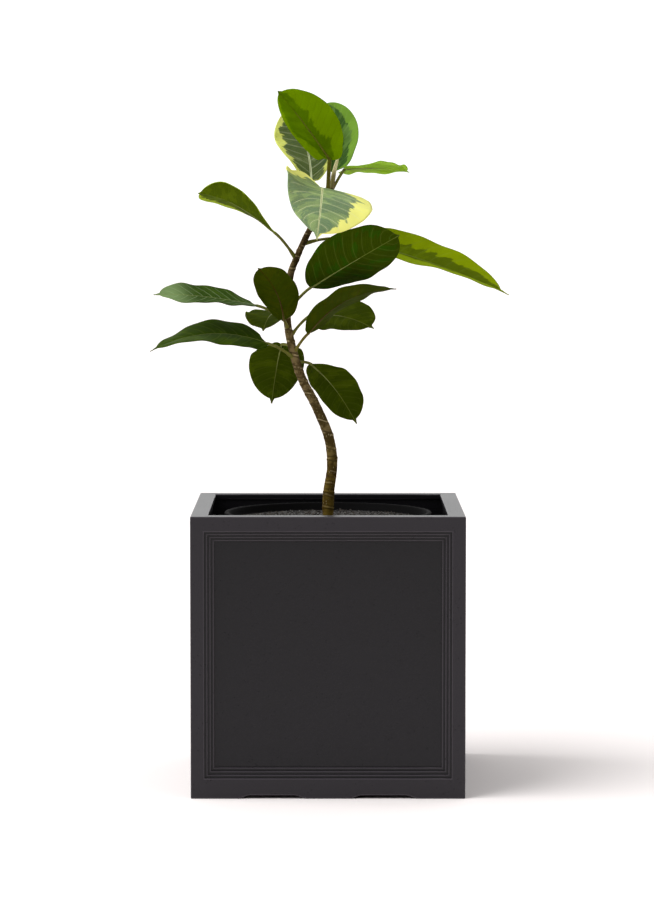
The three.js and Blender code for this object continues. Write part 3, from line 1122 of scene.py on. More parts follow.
@dataclass
class Soil:
    """The bed of potting mix, with loose crumbs on its surface.

    Attributes:
        handfuls: How many handfuls of crumbs lie on it.
        crumbs: How many crumbs are in each.
        stem_room: The radius around the stem that stays free of crumbs.
        wall_room: How far from the bed's edge they stay.
        rings: How many rings of faces the bed has.
        sides: How many faces each ring has.
        roughness: How far the bed's surface rises and falls.
        mound: How much higher the middle lies than the edge.
        settled: How far the bed lies below the CAD's top, to leave room for crumbs.
        foot_inset: How far in the bed's lower edge lies.
        seed: Sets the crumbs.
    """

    handfuls: int = 40
    crumbs: int = 50
    stem_room: float = 9 * MM
    wall_room: float = 3 * MM
    rings: int = 46
    sides: int = 128
    roughness: float = 1.6 * MM
    mound: float = 3 * MM
    settled: float = 1.2 * MM
    foot_inset: float = 8 * MM
    seed: int = 11

    def build(self) -> list[Any]:
        """Builds the bed and its crumbs.

        Returns:
            The two pieces.
        """
        low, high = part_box("potting_soil")
        self.radius = high[0]
        self.edge = high[2] - self.mound
        bed = Earth("soil", srgb(14, 12, 11), srgb(44, 39, 36), 240.0).material()
        bm = bmesh.new()
        radii = [self.radius * ring / self.rings for ring in range(self.rings + 1)]
        top = [(radius, self.surface(radius)) for radius in radii]
        underside = [(self.radius - self.foot_inset, low[2]), (0.0, low[2])]
        add_turned(bm, top + underside, self.sides)
        for vertex in bm.verts:
            # The lowest band, along the pot's wall, stays smooth.
            if vertex.co.z > self.edge - MM:
                vertex.co.z += self.bump(vertex.co)
        piece = new_piece("soil_bed", bm, [bed])
        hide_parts("potting_soil")
        return [piece, self.scatter()]

    def surface(self, radius: float) -> float:
        """The height of the smooth bed at a radius."""
        rise = self.mound * (1 - smooth(0.0, 1.0, radius / self.radius))
        return self.edge + rise - self.settled

    def bump(self, at: Vector) -> float:
        """Finds how far the bed's surface stands off its smooth shape.

        Args:
            at: A point of the surface.

        Returns:
            The height.
        """
        coarse = noise.noise(Vector((at.x, at.y, 0.0)) * 45)
        fine = noise.noise(Vector((at.x, at.y, 0.3)) * 190)
        return self.roughness * (0.6 * coarse + 0.4 * fine)

    def scatter(self) -> Any:
        """Lays the crumbs on the bed, a handful at a time.

        Returns:
            The crumbs, as one piece.
        """
        chance = random.Random(self.seed)
        bm = bmesh.new()
        for _ in range(self.handfuls):
            handful = bmesh.new()
            for _ in range(self.crumbs):
                self.lay_crumb(handful, chance)
            mesh = bpy.data.meshes.new("handful")
            handful.to_mesh(mesh)
            handful.free()
            bm.from_mesh(mesh)
            bpy.data.meshes.remove(mesh)
        finishes = [
            Earth("peat_crumb", srgb(18, 16, 15), srgb(44, 40, 37), 600.0),
            Earth("bark_chip", srgb(34, 28, 24), srgb(66, 58, 51), 500.0),
            Earth("pumice", srgb(80, 78, 76), srgb(122, 119, 115), 700.0),
        ]
        materials = [finish.material() for finish in finishes]
        piece = new_piece("soil_crumbs", bm, materials, shade_smooth=False)
        return piece

    def lay_crumb(self, bm: Any, chance: random.Random) -> None:
        """Lays one crumb, turned and flattened by chance.

        Args:
            bm: The handful that it is added to.
            chance: Where the random numbers come from.
        """
        kind = chance.choices(list(Crumb), [kind.value[1] for kind in Crumb])[0]
        slot, _, size = kind.value
        size *= chance.uniform(0.45, 1.0) ** 1.3 * 0.5
        distance = lerp(self.stem_room, self.radius - self.wall_room, math.sqrt(chance.random()))
        bearing = chance.uniform(0, math.tau)
        at = Vector((distance * math.cos(bearing), distance * math.sin(bearing), 0.0))
        at.z = self.surface(distance) + self.bump(at) + size * 0.25
        axis = Vector([chance.gauss(0, 1) for _ in range(3)])
        turn = Matrix.Rotation(chance.uniform(0, math.tau), 4, axis)
        flat = 0.35 if kind is Crumb.BARK else 0.75
        shape = Matrix.Diagonal((size * chance.uniform(0.8, 1.5), size, size * flat, 1.0))
        matrix = Matrix.Translation(at) @ turn @ shape
        made = bmesh.ops.create_icosphere(bm, subdivisions=1, radius=1.0, matrix=matrix)["verts"]
        for vertex in made:
            vertex.co += (vertex.co - at) * chance.uniform(-0.25, 0.2)
        for face in {face for vertex in made for face in vertex.link_faces}:
            face.material_index = slot


# ------------------------------------------------------------------ stem


@dataclass
class Stem:
    """The trunk, with ring scars where old leaves grew.

    Attributes:
        points: Points of its middle line, in millimetres.
        base_radius: The radius at the soil.
        neck_radius: The radius at the neck's height, a little above.
        top_radius: The radius at the top.
        neck_height: The neck's height.
        soil_height: The soil's height.
        root_taper: The buried end's width against the trunk's.
        around: How many faces go around it.
        along: How many faces long it is.
        first_scar: The height of the lowest scar.
        scar_gap: The least and most distance between two scars.
        scar_swell: The least and most that one swells, in millimetres.
        scar_reach: How far from a scar the bark still swells.
        scar_tilt: How far a scar rises to one side.
        ring_width: How wide its ring is.
        dip_above: How far above the ring the bark dips.
        dip_width: How wide the dip is.
        lump_width: How wide the lump is where the leaf stood.
        grain: How far the bark's fine grain stands out.
        waves: How far its slow waves do.
        scarless: The length at the top without scars.
        seed: Sets the scars.
        scars: Each one's height, swelling and bearing.
    """

    points: tuple[tuple[float, float, float], ...] = (
        (0, 0, 248), (0, 0, 313), (1, 0, 345), (5, 0, 378), (1, -1, 411), (-14, -2, 448),
        (-30, -2, 479), (-41, -1, 511), (-48.5, 1, 547), (-48, 2, 576), (-45, 2, 606),
        (-37, 1, 628), (-22, 0, 660), (-4, 0, 687), (5, 0, 711),
    )
    base_radius: float = 7.6 * MM
    neck_radius: float = 6.6 * MM
    top_radius: float = 3 * MM
    neck_height: float = 0.35
    soil_height: float = 0.3133
    root_taper: float = 0.45
    around: int = 40
    along: int = 620
    first_scar: float = 0.326
    scar_gap: tuple[float, float] = (0.010, 0.021)
    scar_swell: tuple[float, float] = (0.15, 0.42)
    scar_reach: float = 9 * MM
    scar_tilt: float = 0.8 * MM
    ring_width: float = 1.1 * MM
    dip_above: float = 1.9 * MM
    dip_width: float = 0.9 * MM
    lump_width: float = 3.4 * MM
    grain: float = 0.16 * MM
    waves: float = 0.35 * MM
    scarless: float = 0.012
    seed: int = 5
    scars: list[tuple[float, float, float]] = field(default_factory=list)

    def __post_init__(self) -> None:
        """Makes the axis and places the scars."""
        self.axis = SmoothPath([Vector(point) * MM for point in self.points])
        self.top = self.points[-1][2] * MM
        chance = random.Random(self.seed)
        height = self.first_scar
        while height < self.top - self.scarless:
            swell = chance.uniform(*self.scar_swell) * MM
            self.scars.append((height, swell, chance.uniform(0, math.tau)))
            height += chance.uniform(*self.scar_gap)

    def radius(self, height: float) -> float:
        """Finds the smooth radius at a height.

        Args:
            height: The height.

        Returns:
            The radius.
        """
        if height < self.neck_height:
            share = (height - self.soil_height) / (self.neck_height - self.soil_height)
            return min(self.base_radius, lerp(self.base_radius, self.neck_radius, share))
        share = (height - self.neck_height) / (self.top - self.neck_height)
        return lerp(self.neck_radius, self.top_radius, min(1.0, share))

    def relief(self, height: float, bearing: float) -> float:
        """Finds how far the bark stands out.

        Args:
            height: The height.
            bearing: The bearing around the trunk.

        Returns:
            The distance.
        """
        out = 0.0
        for place, swell, facing in self.scars:
            aside = bearing - facing
            gap = height - place - self.scar_tilt * math.cos(aside)
            if abs(gap) < self.scar_reach:
                dip = hump(gap - self.dip_above, self.dip_width)
                ring = hump(gap, self.ring_width) - 0.5 * dip
                lump = max(0.0, math.cos(aside / 1.6)) if abs(aside) < 2.5 else 0.0
                out += swell * ring
                out += swell * 1.3 * lump**3 * hump(gap, self.lump_width)
        grain = noise.noise(Vector((math.cos(bearing) * 2, math.sin(bearing) * 2, height * 160)))
        waves = noise.noise(Vector((math.cos(bearing), math.sin(bearing), height * 45)))
        return out + self.grain * grain + self.waves * waves

    def build(self) -> Any:
        """Builds the trunk in the place of its CAD node.

        Returns:
            The trunk.
        """

        def place(share: float, turn: float) -> Vector:
            """Gives a point of the bark.

            Args:
                share: The share along it.
                turn: The share around it.

            Returns:
                The point.
            """
            centre = self.axis.at(share)
            along = self.axis.direction(share)
            side = Vector((0, 1, 0)).cross(along).normalized()
            front = along.cross(side)
            bearing = math.tau * (turn % 1.0)
            taper = lerp(self.root_taper, 1.0, smooth(0.0, 0.12, share))
            close = 1.0 - 0.5 * smooth(0.988, 1.0, share)
            radius = (self.radius(centre.z) * taper + self.relief(centre.z, bearing)) * close
            return centre + (side * math.cos(bearing) + front * math.sin(bearing)) * radius

        bm = bmesh.new()
        add_tube(bm, self.along, self.around, place)
        piece = new_piece("trunk", bm, [Bark().material()])
        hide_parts("stem")
        return piece


# ------------------------------------------------------------------ leaves

VEIN_SLANT = 0.16  # how far up the blade a side vein ends, against the blade's length
VEIN_BEND = 1.35  # how a side vein bends upwards on its way out; 1 is straight
SPAN_UNIT_MM = 100.0  # the second map's unit, a decimetre
PALE_RIB = StalkFinish(srgb(104, 104, 44), srgb(124, 134, 70))
DARK_RIB = StalkFinish(srgb(86, 80, 26), srgb(86, 96, 14))
BROWN_RIB = StalkFinish(srgb(104, 98, 40), srgb(66, 46, 18))


@dataclass(frozen=True)
class LeafLook:
    """The finishes of a leaf's three skins.

    Attributes:
        upper: The upper side.
        under: The underside.
        glow: How much of the light passes through the blade, 0 to 1.
        stalk: The stalk.
        slot: The name of a slot for them; it is not used.
    """

    upper: BladeFinish
    under: BladeFinish
    glow: float = 0.22
    stalk: StalkFinish = PALE_RIB
    slot: str = "leaf_green"


def blade(heart: Tone, patch: Tone, margin: Tone, vein: Tone, **settings: float) -> BladeFinish:
    """Makes a blade's finish from display colours, 0 to 255."""
    return BladeFinish(srgb(*heart), srgb(*patch), srgb(*margin), srgb(*vein), **settings)


DEEP = LeafLook(
    upper=blade(
        (50, 72, 4), (66, 88, 10), (104, 132, 30), (126, 140, 64), veins=0.4,
    ),
    under=blade(
        (54, 72, 2), (44, 82, 4), (96, 116, 16), (122, 136, 58), veins=0.36, gloss=0.55,
    ),
)
# Painted sheen: the pale grey-green tip with pale veins stands in for light reflected off the upper
# side.
PAINTED_SHEEN_TIP = replace(
    DEEP,
    upper=blade(
        (46, 72, 4), (58, 84, 8), (126, 152, 98), (170, 190, 140), veins=0.6, tip_from=0.7,
    ),
)
DEEP_BROWN = LeafLook(
    stalk=BROWN_RIB,
    upper=DEEP.upper,
    under=blade(
        (56, 70, 4), (66, 76, 4), (96, 110, 16), (66, 42, 14), veins=0.4, gloss=0.55,
    ),
)
MOSS = LeafLook(
    upper=blade(
        (52, 76, 6), (66, 92, 12), (104, 132, 30), (126, 146, 84), veins=0.3,
    ),
    under=blade(
        (62, 78, 4), (76, 92, 8), (96, 116, 16), (126, 134, 64), veins=0.28, gloss=0.55,
    ),
)
CREAM = LeafLook(
    upper=blade(
        (94, 128, 102), (134, 164, 112), (255, 254, 140), (236, 240, 190),
        margin_from=0.6, lean=0.6, patches=0.5, veins=0.6, rib=1.7, gloss=0.36, sheen=0.1,
    ),
    under=blade(
        (150, 156, 62), (160, 164, 66), (178, 176, 76), (206, 208, 120),
        margin_from=0.5, veins=0.3,
    ),
    slot="leaf_variegated",
)
PALE = LeafLook(
    upper=blade(
        (50, 76, 54), (98, 112, 84), (228, 234, 122), (222, 230, 190),
        margin_from=0.74, patches=0.42, veins=0.6, rib=1.4, sheen=0.08,
    ),
    under=blade(
        (60, 86, 36), (84, 104, 50), (206, 208, 104), (180, 190, 120), margin_from=0.7, veins=0.25,
    ),
    slot="leaf_variegated",
)
GREEN_LIME = LeafLook(
    upper=blade(
        (62, 94, 44), (104, 138, 66), (124, 164, 60), (150, 180, 110),
        margin_from=0.66, patches=0.5, veins=0.4,
    ),
    under=blade(
        (60, 96, 20), (80, 116, 24), (130, 164, 40), (130, 150, 80), margin_from=0.78, veins=0.2,
    ),
    slot="leaf_variegated",
)
LIME = LeafLook(
    upper=blade(
        (60, 96, 10), (84, 120, 12), (120, 150, 14), (150, 170, 80), margin_from=0.6,
    ),
    under=blade(
        (88, 116, 2), (100, 130, 2), (126, 158, 2), (84, 100, 10),
        margin_from=0.32, lean=0.5, veins=0.5, gloss=0.5,
    ),
    glow=0.4,
    stalk=DARK_RIB,
    slot="leaf_lime",
)
FRESH = LeafLook(
    upper=blade(
        (126, 158, 34), (138, 168, 44), (160, 190, 64), (196, 206, 120),
        margin_from=0.7, veins=0.2,
    ),
    under=blade(
        (132, 160, 36), (142, 170, 46), (164, 192, 66), (196, 206, 120),
        margin_from=0.7, veins=0.2,
    ),
    glow=0.35,
    slot="leaf_variegated",
)
OLIVE_LIME = LeafLook(
    upper=blade(
        (70, 88, 6), (84, 104, 8), (160, 184, 30), (96, 112, 30), margin_from=0.74, veins=0.2,
    ),
    under=blade(
        (72, 90, 4), (84, 102, 6), (160, 182, 40), (96, 112, 20),
        margin_from=1.05, lean=-0.5, veins=0.2, gloss=0.5,
    ),
    glow=0.1,
)
LIME_TOP = LeafLook(
    upper=blade(
        (90, 106, 12), (102, 120, 12), (142, 162, 6), (150, 164, 84), margin_from=0.42, veins=0.15,
    ),
    under=blade(
        (104, 122, 40), (116, 134, 48), (134, 152, 40), (150, 164, 84),
        margin_from=0.6, veins=0.15,
    ),
    slot="leaf_variegated",
)


@dataclass
class Leaf:
    """One leaf with its stalk, sized in millimetres as it grows on the stem.

    Attributes:
        node: The CAD node that it stands for.
        grows: The height where it leaves the stem.
        base: Where the blade begins.
        tip: Where it ends.
        bow: How far the midrib's middle stands off the straight line.
        width: The blade's width.
        face: The way the upper side faces at the base.
        tip_face: The way it faces at the tip.
        fold: The angle by which each half rises at the midrib, in degrees.
        curl: The angle by which it bends on to the margin.
        look: Its finishes.
        skew: How much of the width one half takes from the other.
        shoulder: How far the widest place moves towards the tip; 1 is the middle.
        lopsided: The cupped half's shoulder against the other's.
        tip_length: The share of the blade taken by its drawn-out tip.
        cup: How much more one half bends up near the base, in degrees.
        wave: The height of the margin's waves.
        seed: Sets the waves and the pattern.
        stalk_radius: The stalk's radius, in metres.
        thickness: The blade's thickness, in metres.
        tip_radius: Half the width that the tip ends in, in metres.
        fullness: How blunt the outline is; a lower power fills out its ends.
        tip_width: The drawn-out tip's width against the blade's.
        side_veins: How many veins leave the midrib on each side.
        along: How many faces long the blade is.
        across: How many faces wide it is.
        stalk_share: The share of the stalk's tube that lies before the blade.
        bend_share: Where on its way to the blade the stalk bends.
        bend_rise: How far it rises there, against its length.
        stalk_along: How many faces long the stalk and the raised midrib are.
        stalk_around: How many faces go around them.
        rib_end: The radius that the raised midrib ends in, in metres.
        quilt: How far the blade sinks at the side veins, in metres.
        groove: How deep the midrib's groove is, in metres.
        groove_width: How wide it is, in metres.
    """

    node: str
    grows: float
    base: tuple[float, float, float]
    tip: tuple[float, float, float]
    bow: tuple[float, float, float]
    width: float
    face: tuple[float, float, float]
    tip_face: tuple[float, float, float]
    fold: float
    curl: float
    look: LeafLook
    skew: float = 0.0
    shoulder: float = 1.0
    lopsided: float = 1.0
    tip_length: float = 0.07
    cup: float = 0.0
    wave: float = 1.3
    seed: int = 0
    stalk_radius: float = 1.7 * MM
    thickness: float = 0.9 * MM
    tip_radius: float = 0.35 * MM
    fullness: float = 0.56
    tip_width: float = 0.09
    side_veins: int = 11
    along: int = 96
    across: int = 40
    stalk_share: float = 0.35
    bend_share: float = 0.55
    bend_rise: float = 0.12
    stalk_along: int = 90
    stalk_around: int = 14
    rib_end: float = 0.3 * MM
    quilt: float = 0.1 * MM
    groove: float = 0.35 * MM
    groove_width: float = 1.3 * MM

    def prepare(self, stem: Stem) -> None:
        """Places the curves of the stalk and the midrib.

        Args:
            stem: The stem that the leaf grows on.
        """
        self.root = stem.axis.at(stem.axis.share_at_height(self.grows * MM))
        self.start = Vector(self.base) * MM
        self.end = Vector(self.tip) * MM
        self.belly = (self.start + self.end) / 2 + Vector(self.bow) * MM * 2
        self.knee = self.root.lerp(self.start, self.bend_share)
        self.knee.z += self.bend_rise * (self.start - self.root).length

    @staticmethod
    def curve(points: tuple[Vector, Vector, Vector], share: float) -> tuple[Vector, Vector]:
        """Follows a three-point curve.

        Args:
            points: Its start, the point that it bends towards, and its end.
            share: The share of the way.

        Returns:
            The point and the unit direction there.
        """
        start, pull, end = points
        point = start * (1 - share) ** 2 + pull * 2 * share * (1 - share) + end * share**2
        return point, ((pull - start) * (1 - share) + (end - pull) * share).normalized()

    def spine(self, blade: float) -> tuple[Vector, Vector, Vector, Vector]:
        """Follows the midrib.

        Args:
            blade: The share of the blade's length.

        Returns:
            The point, and the directions along, up and sideways there.
        """
        point, along = self.curve((self.start, self.belly, self.end), blade)
        _, arriving = self.curve((self.root, self.knee, self.start), 1.0)
        along = along.lerp(arriving, 1 - smooth(0.0, 0.06, blade)).normalized()
        up = Vector(self.face).lerp(Vector(self.tip_face), blade)
        up = (up - along * up.dot(along)).normalized()
        return point, along, up, along.cross(up)

    def half_width(self, blade: float, side: float) -> float:
        """Finds half the blade's width.

        Args:
            blade: The share of its length.
            side: Which half, 1 or -1.

        Returns:
            The half width.
        """
        shoulder = self.shoulder * (self.lopsided if side > 0 else 1.0)
        body = min(blade / (1 - self.tip_length * 0.8), 1.0) ** shoulder
        lens = (4 * body * (1 - body)) ** self.fullness
        drip = self.tip_width * (1 - smooth(1 - self.tip_length, 1.0, blade))
        half = self.width * MM / 2 * (1 + self.skew * side) * max(lens, drip)
        return max(half, lerp(self.stalk_radius, self.tip_radius, blade))

    def surface(self, blade: float, across: float) -> Vector:
        """Gives a point of the blade's upper side.

        Args:
            blade: The share of its length.
            across: The share of its width.

        Returns:
            The point.
        """
        point, _, up, side = self.spine(blade)
        signed = across * 2 - 1
        out, hand = abs(signed), math.copysign(1.0, signed)
        spread = smooth(0.0, 0.2, blade)
        start = math.radians(self.fold) * spread
        rolled = self.cup * (1 - smooth(0.4, 0.75, blade)) if signed > 0 else 0.0
        turn = math.radians(self.curl + rolled) or 1e-4
        half = self.half_width(blade, hand)
        lean = start + turn * out
        sideways = half * (math.sin(lean) - math.sin(start)) / turn
        lift = half * (math.cos(start) - math.cos(lean)) / turn
        phase = self.seed * 1.7 + hand * 1.1
        wave = math.sin(math.tau * 2.1 * blade + phase)
        wave += 0.5 * math.sin(math.tau * 4.3 * blade + 2 * phase)
        held = smooth(0.0, 0.25, blade) * smooth(1.0, 0.85, blade)
        lift += self.wave * MM * wave * out**2.2 * held
        vein = (blade - out**VEIN_BEND * VEIN_SLANT) * self.side_veins
        between = math.sin(math.pi * min(1.0, out))
        quilt = self.quilt * math.cos(math.tau * vein) * between * spread
        groove = self.groove * hump(out * half, self.groove_width) * spread
        return point + side * hand * sideways + up * (lift + self.thickness / 2 - quilt - groove)

    def stalk_place(self, share: float, turn: float) -> Vector:
        """Gives a point of the stalk, or of the raised midrib that carries it on.

        Args:
            share: The share along both.
            turn: The share around.

        Returns:
            The point.
        """
        on_stalk = min(1.0, share / self.stalk_share)
        blade = max(0.0, (share - self.stalk_share) / (1 - self.stalk_share)) * 0.985
        bearing = math.tau * (turn % 1.0)
        _, _, up, side = self.spine(blade)
        if blade > 0:
            point, along, up, side = self.spine(blade)
            radius = lerp(1.05 * self.stalk_radius, self.rib_end, blade**0.3)
        else:
            point, along = self.curve((self.root, self.knee, self.start), on_stalk)
            up = (up - along * up.dot(along)).normalized()
            side = along.cross(up)
            radius = self.stalk_radius * (1 + 0.5 * smooth(0.35, 0.1, on_stalk) + 0.05 * on_stalk)
        sunk = (radius * 0.98 - self.thickness * 0.3) * smooth(0.0, 0.07, blade)
        return point - up * sunk + (side * math.cos(bearing) + up * math.sin(bearing)) * radius

    def build(self, stem: Stem) -> Any:
        """Builds the leaf in the place of its CAD node.

        Args:
            stem: The stem it grows on.

        Returns:
            The leaf.
        """
        self.prepare(stem)
        sheet = bmesh.new()
        add_sheet(sheet, self.along, self.across, lambda u, v: self.surface(crowded(u), v))
        bmesh.ops.reverse_faces(sheet, faces=sheet.faces)
        self.map_blade(sheet)
        bm = bmesh.new()
        bm.from_mesh(thickened(sheet, self.thickness))
        add_tube(bm, self.stalk_along, self.stalk_around, self.stalk_place, slot=2)
        sides = {"upper": self.look.upper, "under": self.look.under}
        materials = [
            replace(finish, seed=float(self.seed)).material(
                f"{self.node}_{side}", self.side_veins, self.look.glow
            )
            for side, finish in sides.items()
        ]
        materials.append(self.look.stalk.material(f"{self.node}_stalk"))
        piece = new_piece(f"{self.node}_grown", bm, materials)
        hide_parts(self.node)
        return piece

    def map_blade(self, sheet: Any) -> None:
        """Gives the blade its true shares, and a second map with distances in decimetres.

        Args:
            sheet: The bmesh of the drawn side.
        """
        decimetres = 10
        shares = sheet.loops.layers.uv["Leaf"]
        span = sheet.loops.layers.uv.new("Span")
        length = (self.end - self.start).length
        for face in sheet.faces:
            for loop in face.loops:
                u, v = loop[shares].uv
                blade = crowded(u)
                loop[shares].uv = (blade, v)
                signed = v * 2 - 1
                half = self.half_width(blade, math.copysign(1.0, signed))
                loop[span].uv = (blade * length * decimetres, signed * half * decimetres)


def thickened(sheet: Any, thickness: float) -> Any:
    """Gives a sheet its thickness below the drawn side, which takes the next slot.

    Args:
        sheet: The bmesh of the drawn side, which is freed.
        thickness: The thickness.

    Returns:
        The closed mesh.
    """
    mesh = bpy.data.meshes.new("sheet")
    sheet.to_mesh(mesh)
    sheet.free()
    helper = bpy.data.objects.new("sheet", mesh)
    bpy.context.collection.objects.link(helper)
    for _ in range(2):
        mesh.materials.append(None)
    solidify = helper.modifiers.new("thickness", "SOLIDIFY")
    solidify.thickness = thickness
    solidify.offset = -1.0
    solidify.material_offset = 1
    graph = bpy.context.evaluated_depsgraph_get()
    result = bpy.data.meshes.new_from_object(helper.evaluated_get(graph))
    bpy.data.objects.remove(helper)
    return result


LEAVES = [
    Leaf("leaf_top_front", 694, (2, -18, 744), (-59, -46, 824), (1, -4, 1), 62,
         (0.1, 0.95, 0.25), (0, 0.97, 0.1), 22, 12, LIME,
         skew=-0.25, shoulder=0.8, tip_length=0.04, stalk_radius=2.4 * MM, seed=1),
    Leaf("leaf_top_back", 704, (7, 28, 730), (-14, 74, 812), (12, 6, 4), 66,
         (-0.3, -0.9, 0.3), (-0.3, -0.9, 0.3), 12, 8, GREEN_LIME, seed=2),
    Leaf("leaf_top_left", 698, (-20, 12, 714), (-50, 40, 812), (7, 8, 5), 74,
         (0.3, -0.9, 0.2), (0, -1, 0.2), 10, 8, PALE, shoulder=1.3, seed=3),
    Leaf("leaf_front", 694, (-8, -22, 710), (-13, -138, 650), (3, -8, 18), 112,
         (0.22, -0.4, 0.9), (0.15, -0.7, 0.7), 4, -12, CREAM,
         skew=-0.1, lopsided=0.52, cup=45, seed=4),
    Leaf("leaf_top_right", 688, (20, 6, 733), (99, 76, 730), (0, 4, 3), 60,
         (0, 0.35, 1), (0, 0.2, 1), 4, -8, FRESH, shoulder=0.8, seed=5),
    Leaf("leaf_upper_left", 625, (-64, -12, 657), (-154, -40, 704), (-3, 0, 11), 68,
         (0.8, 0.3, 0.55), (-0.1, 0.4, 0.9), 6, 6, OLIVE_LIME,
         shoulder=1.8, tip_length=0.04, wave=0.5, seed=6),
    Leaf("leaf_far_right", 643, (26, 28, 648), (220, 50, 581), (3, 4, 5), 80,
         (0.2, -0.55, 0.85), (0.3, -0.25, 0.9), 20, -6, LIME_TOP, seed=7),
    Leaf("leaf_right", 560, (-20, -22, 592), (84, -75, 655), (0, -6, 1), 89,
         (-0.5, 0.75, 0.35), (-0.4, 0.8, 0.4), 8, 6, DEEP, tip_length=0.04, seed=8),
    Leaf("leaf_left", 549, (-85, -20, 570), (-207, -45, 584), (0, 0, 4), 59,
         (0, -0.2, 1), (-0.15, -0.5, 0.85), 4, 6, PAINTED_SHEEN_TIP, seed=9),
    Leaf("leaf_front_small", 541, (-53, -16, 553), (-82, -82, 616), (6, -2, 3), 50,
         (0, 0.7, 0.7), (0, 0.7, 0.7), 12, 6, DEEP_BROWN, tip_length=0.04, seed=10),
    Leaf("leaf_right_small", 531, (-23, 16, 556), (56, 84, 539), (0, 2, 8), 72,
         (0, 0.6, 0.8), (0, 0.6, 0.8), 4, -8, MOSS, seed=11),
    Leaf("leaf_left_back", 554, (-60, 26, 562), (-80, 112, 535), (-2, 0, 6), 58,
         (-0.2, 0.5, 0.9), (-0.1, 0.6, 0.8), 6, 6, MOSS, seed=12),
    Leaf("leaf_back", 519, (-56, 18, 522), (-69, 62, 448), (0, 10, 8), 68,
         (-0.1, 0.8, 0.6), (-0.1, 0.9, 0.4), 6, 4, MOSS, seed=13),
    Leaf("leaf_right_narrow", 512, (-23, -17, 537), (81, -52, 591), (-7, 0, 13), 66,
         (-0.4, 0.35, 0.85), (-0.2, 0.3, 0.9), 6, 4, DEEP_BROWN, seed=14),
    Leaf("leaf_lower_left", 505, (-73, -22, 525), (-211, -52, 517), (0, -2, 16), 80,
         (0.1, -0.5, 0.85), (0, 0, 1), 8, -10, DEEP, seed=15),
    Leaf("leaf_lower_right", 501, (-20, 20, 498), (35, 52, 424), (2, 6, 5), 60,
         (0.4, 0.7, 0.6), (0.3, 0.9, 0.3), 6, 4, MOSS, seed=16),
]


@dataclass
class Bud:
    """The rolled sheath that holds the next leaf.

    Attributes:
        step: From the stem's tip to its foot, in millimetres.
        belly: The point that it bends towards, in millimetres.
        point: Its tip, in millimetres.
        radius: Its greatest radius.
        point_radius: The radius that its tip ends in.
        foot_share: How full it is at the foot, against a spindle's growth from its point.
        roll: How far the rolled edge stands out, against the radius.
        along: How many faces long it is.
        around: How many faces go around it.
    """

    step: tuple[float, float, float] = (0.0, 0.0, -1.5)
    belly: tuple[float, float, float] = (6, 2, 734)
    point: tuple[float, float, float] = (16, 0, 756)
    radius: float = 2.7 * MM
    point_radius: float = 0.3 * MM
    foot_share: float = 0.25
    roll: float = 0.12
    along: int = 48
    around: int = 20

    def build(self, stem: Stem) -> Any:
        """Builds the bud in the place of its CAD node.

        Args:
            stem: The stem it ends.

        Returns:
            The bud.
        """
        foot = stem.axis.at(1.0) + Vector(self.step) * MM
        curve = (foot, Vector(self.belly) * MM, Vector(self.point) * MM)

        def place(share: float, turn: float) -> Vector:
            """Gives a point of the sheath.

            Args:
                share: The share along it.
                turn: The share around it.

            Returns:
                The point.
            """
            centre, _ = Leaf.curve(curve, share)
            swell = math.sin(math.pi * (self.foot_share + (1 - self.foot_share) * share))
            radius = self.point_radius + (self.radius - self.point_radius) * max(swell, 0.0) ** 0.8
            bearing = math.tau * (turn % 1.0)
            radius *= 1 + self.roll * math.cos(bearing * 2 + share * 4)
            return centre + Vector((-math.cos(bearing), math.sin(bearing), 0.0)) * radius

        bm = bmesh.new()
        add_tube(bm, self.along, self.around, place)
        piece = new_piece("bud_sheath_rolled", bm, [Sheath().material()])
        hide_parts("terminal_bud")
        return piece


# ------------------------------------------------------------------ studio


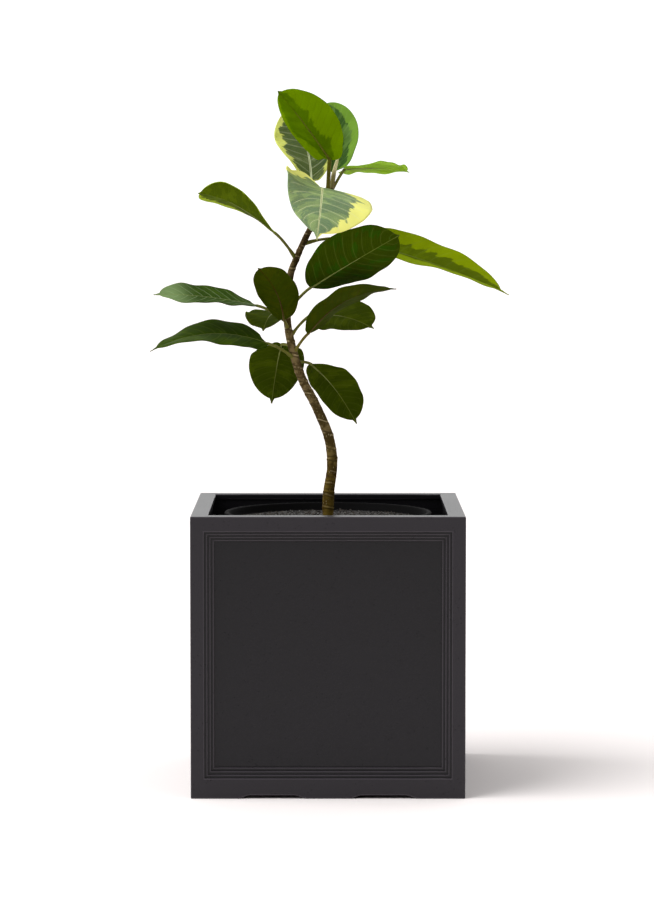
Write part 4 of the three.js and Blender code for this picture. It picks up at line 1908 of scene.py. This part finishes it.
@dataclass
class Studio:
    """The pale floor, the soft light and the camera.

    The room is bright behind and above the plant and dimmer on the camera's side.

    Attributes:
        camera_at: The camera's place.
        camera_down: How far down it looks, in radians.
        lens: Its focal length, in millimetres.
        sensor: Its sensor's width, in millimetres.
        sight: How far it sees.
        floor_tone: The floor's colour.
        floor_size: The floor's width.
        room_front: The light's strength from the camera's side.
        room_top: The same from above.
        room_back: The same from behind.
        sun_from: The way to the broad lamp.
        sun_power: The lamp's strength.
        sun_softness: How wide it looks, in radians.
    """

    camera_at: tuple[float, float, float] = (-0.0012, -3.987, 0.694)
    camera_down: float = math.radians(4.28)
    lens: float = 132.8
    sensor: float = 36.0
    sight: float = 700.0
    floor_tone: Colour = (0.96, 0.91, 0.9)
    floor_size: float = 600.0
    room_front: float = 0.08
    room_top: float = 0.8
    room_back: float = 1.2
    sun_from: tuple[float, float, float] = (-1.0, -0.35, 1.0)
    sun_power: float = 2.8
    sun_softness: float = math.radians(60)

    def build(self) -> None:
        """Sets up the whole studio."""
        self.floor()
        self.room()
        self.sun()
        self.camera()

    def floor(self) -> None:
        """Lays the floor."""
        bm = bmesh.new()
        bmesh.ops.create_grid(bm, x_segments=1, y_segments=1, size=self.floor_size / 2)
        mesh = bpy.data.meshes.new("floor")
        bm.to_mesh(mesh)
        bm.free()
        floor = bpy.data.objects.new("floor", mesh)
        bpy.context.collection.objects.link(floor)
        skin = Skin("floor_paper")
        skin.finish(self.floor_tone, 0.9)
        skin.constant(Specular_IOR_Level=0.0)
        mesh.materials.append(skin.material)

    def room(self) -> None:
        """Fills the room with light, by the direction that it comes from."""
        world = bpy.data.worlds.new("studio")
        tree = Tree(world)
        _, y, z = tree.split(tree.value("ShaderNodeTexCoord", {}, {}, "Generated"))
        top = z.above(0.4, 0.5) * (self.room_top - self.room_front)
        back = y.above(0.6, 0.35) * (self.room_back - self.room_front)
        background = tree.nodes["Background"]
        tree.feed(background.inputs["Color"], (1.0, 1.0, 1.0))
        tree.feed(background.inputs["Strength"], top.most(back) + self.room_front)
        bpy.context.scene.world = world

    def sun(self) -> None:
        """Adds the broad lamp on the left that throws the soft shadow."""
        data = bpy.data.lights.new("key_light", "SUN")
        data.energy = self.sun_power
        data.angle = self.sun_softness
        sun = bpy.data.objects.new("key_light", data)
        sun.rotation_euler = (-Vector(self.sun_from)).to_track_quat("-Z", "Y").to_euler()
        bpy.context.collection.objects.link(sun)

    def camera(self) -> None:
        """Sets the camera."""
        data = bpy.data.cameras.new("camera")
        data.sensor_width = self.sensor
        data.lens = self.lens
        data.clip_end = self.sight
        camera = bpy.data.objects.new("camera", data)
        camera.location = self.camera_at
        camera.rotation_euler = (math.pi / 2 - self.camera_down, 0.0, 0.0)
        bpy.context.collection.objects.link(camera)
        bpy.context.scene.camera = camera


def main() -> None:
    """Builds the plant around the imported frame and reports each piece."""
    logging.basicConfig(level=logging.INFO, format="%(message)s")
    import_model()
    bpy.context.scene.view_settings.view_transform = "Standard"
    Studio().build()
    stem = Stem()
    pieces = [Planter().build(), InnerPot().build(), *Soil().build(), stem.build()]
    pieces += [leaf.build(stem) for leaf in LEAVES]
    pieces.append(Bud().build(stem))
    for piece in pieces:
        LOG.info("%s: %d faces", piece.name, len(piece.data.polygons))


if __name__ == "__main__":
    main()
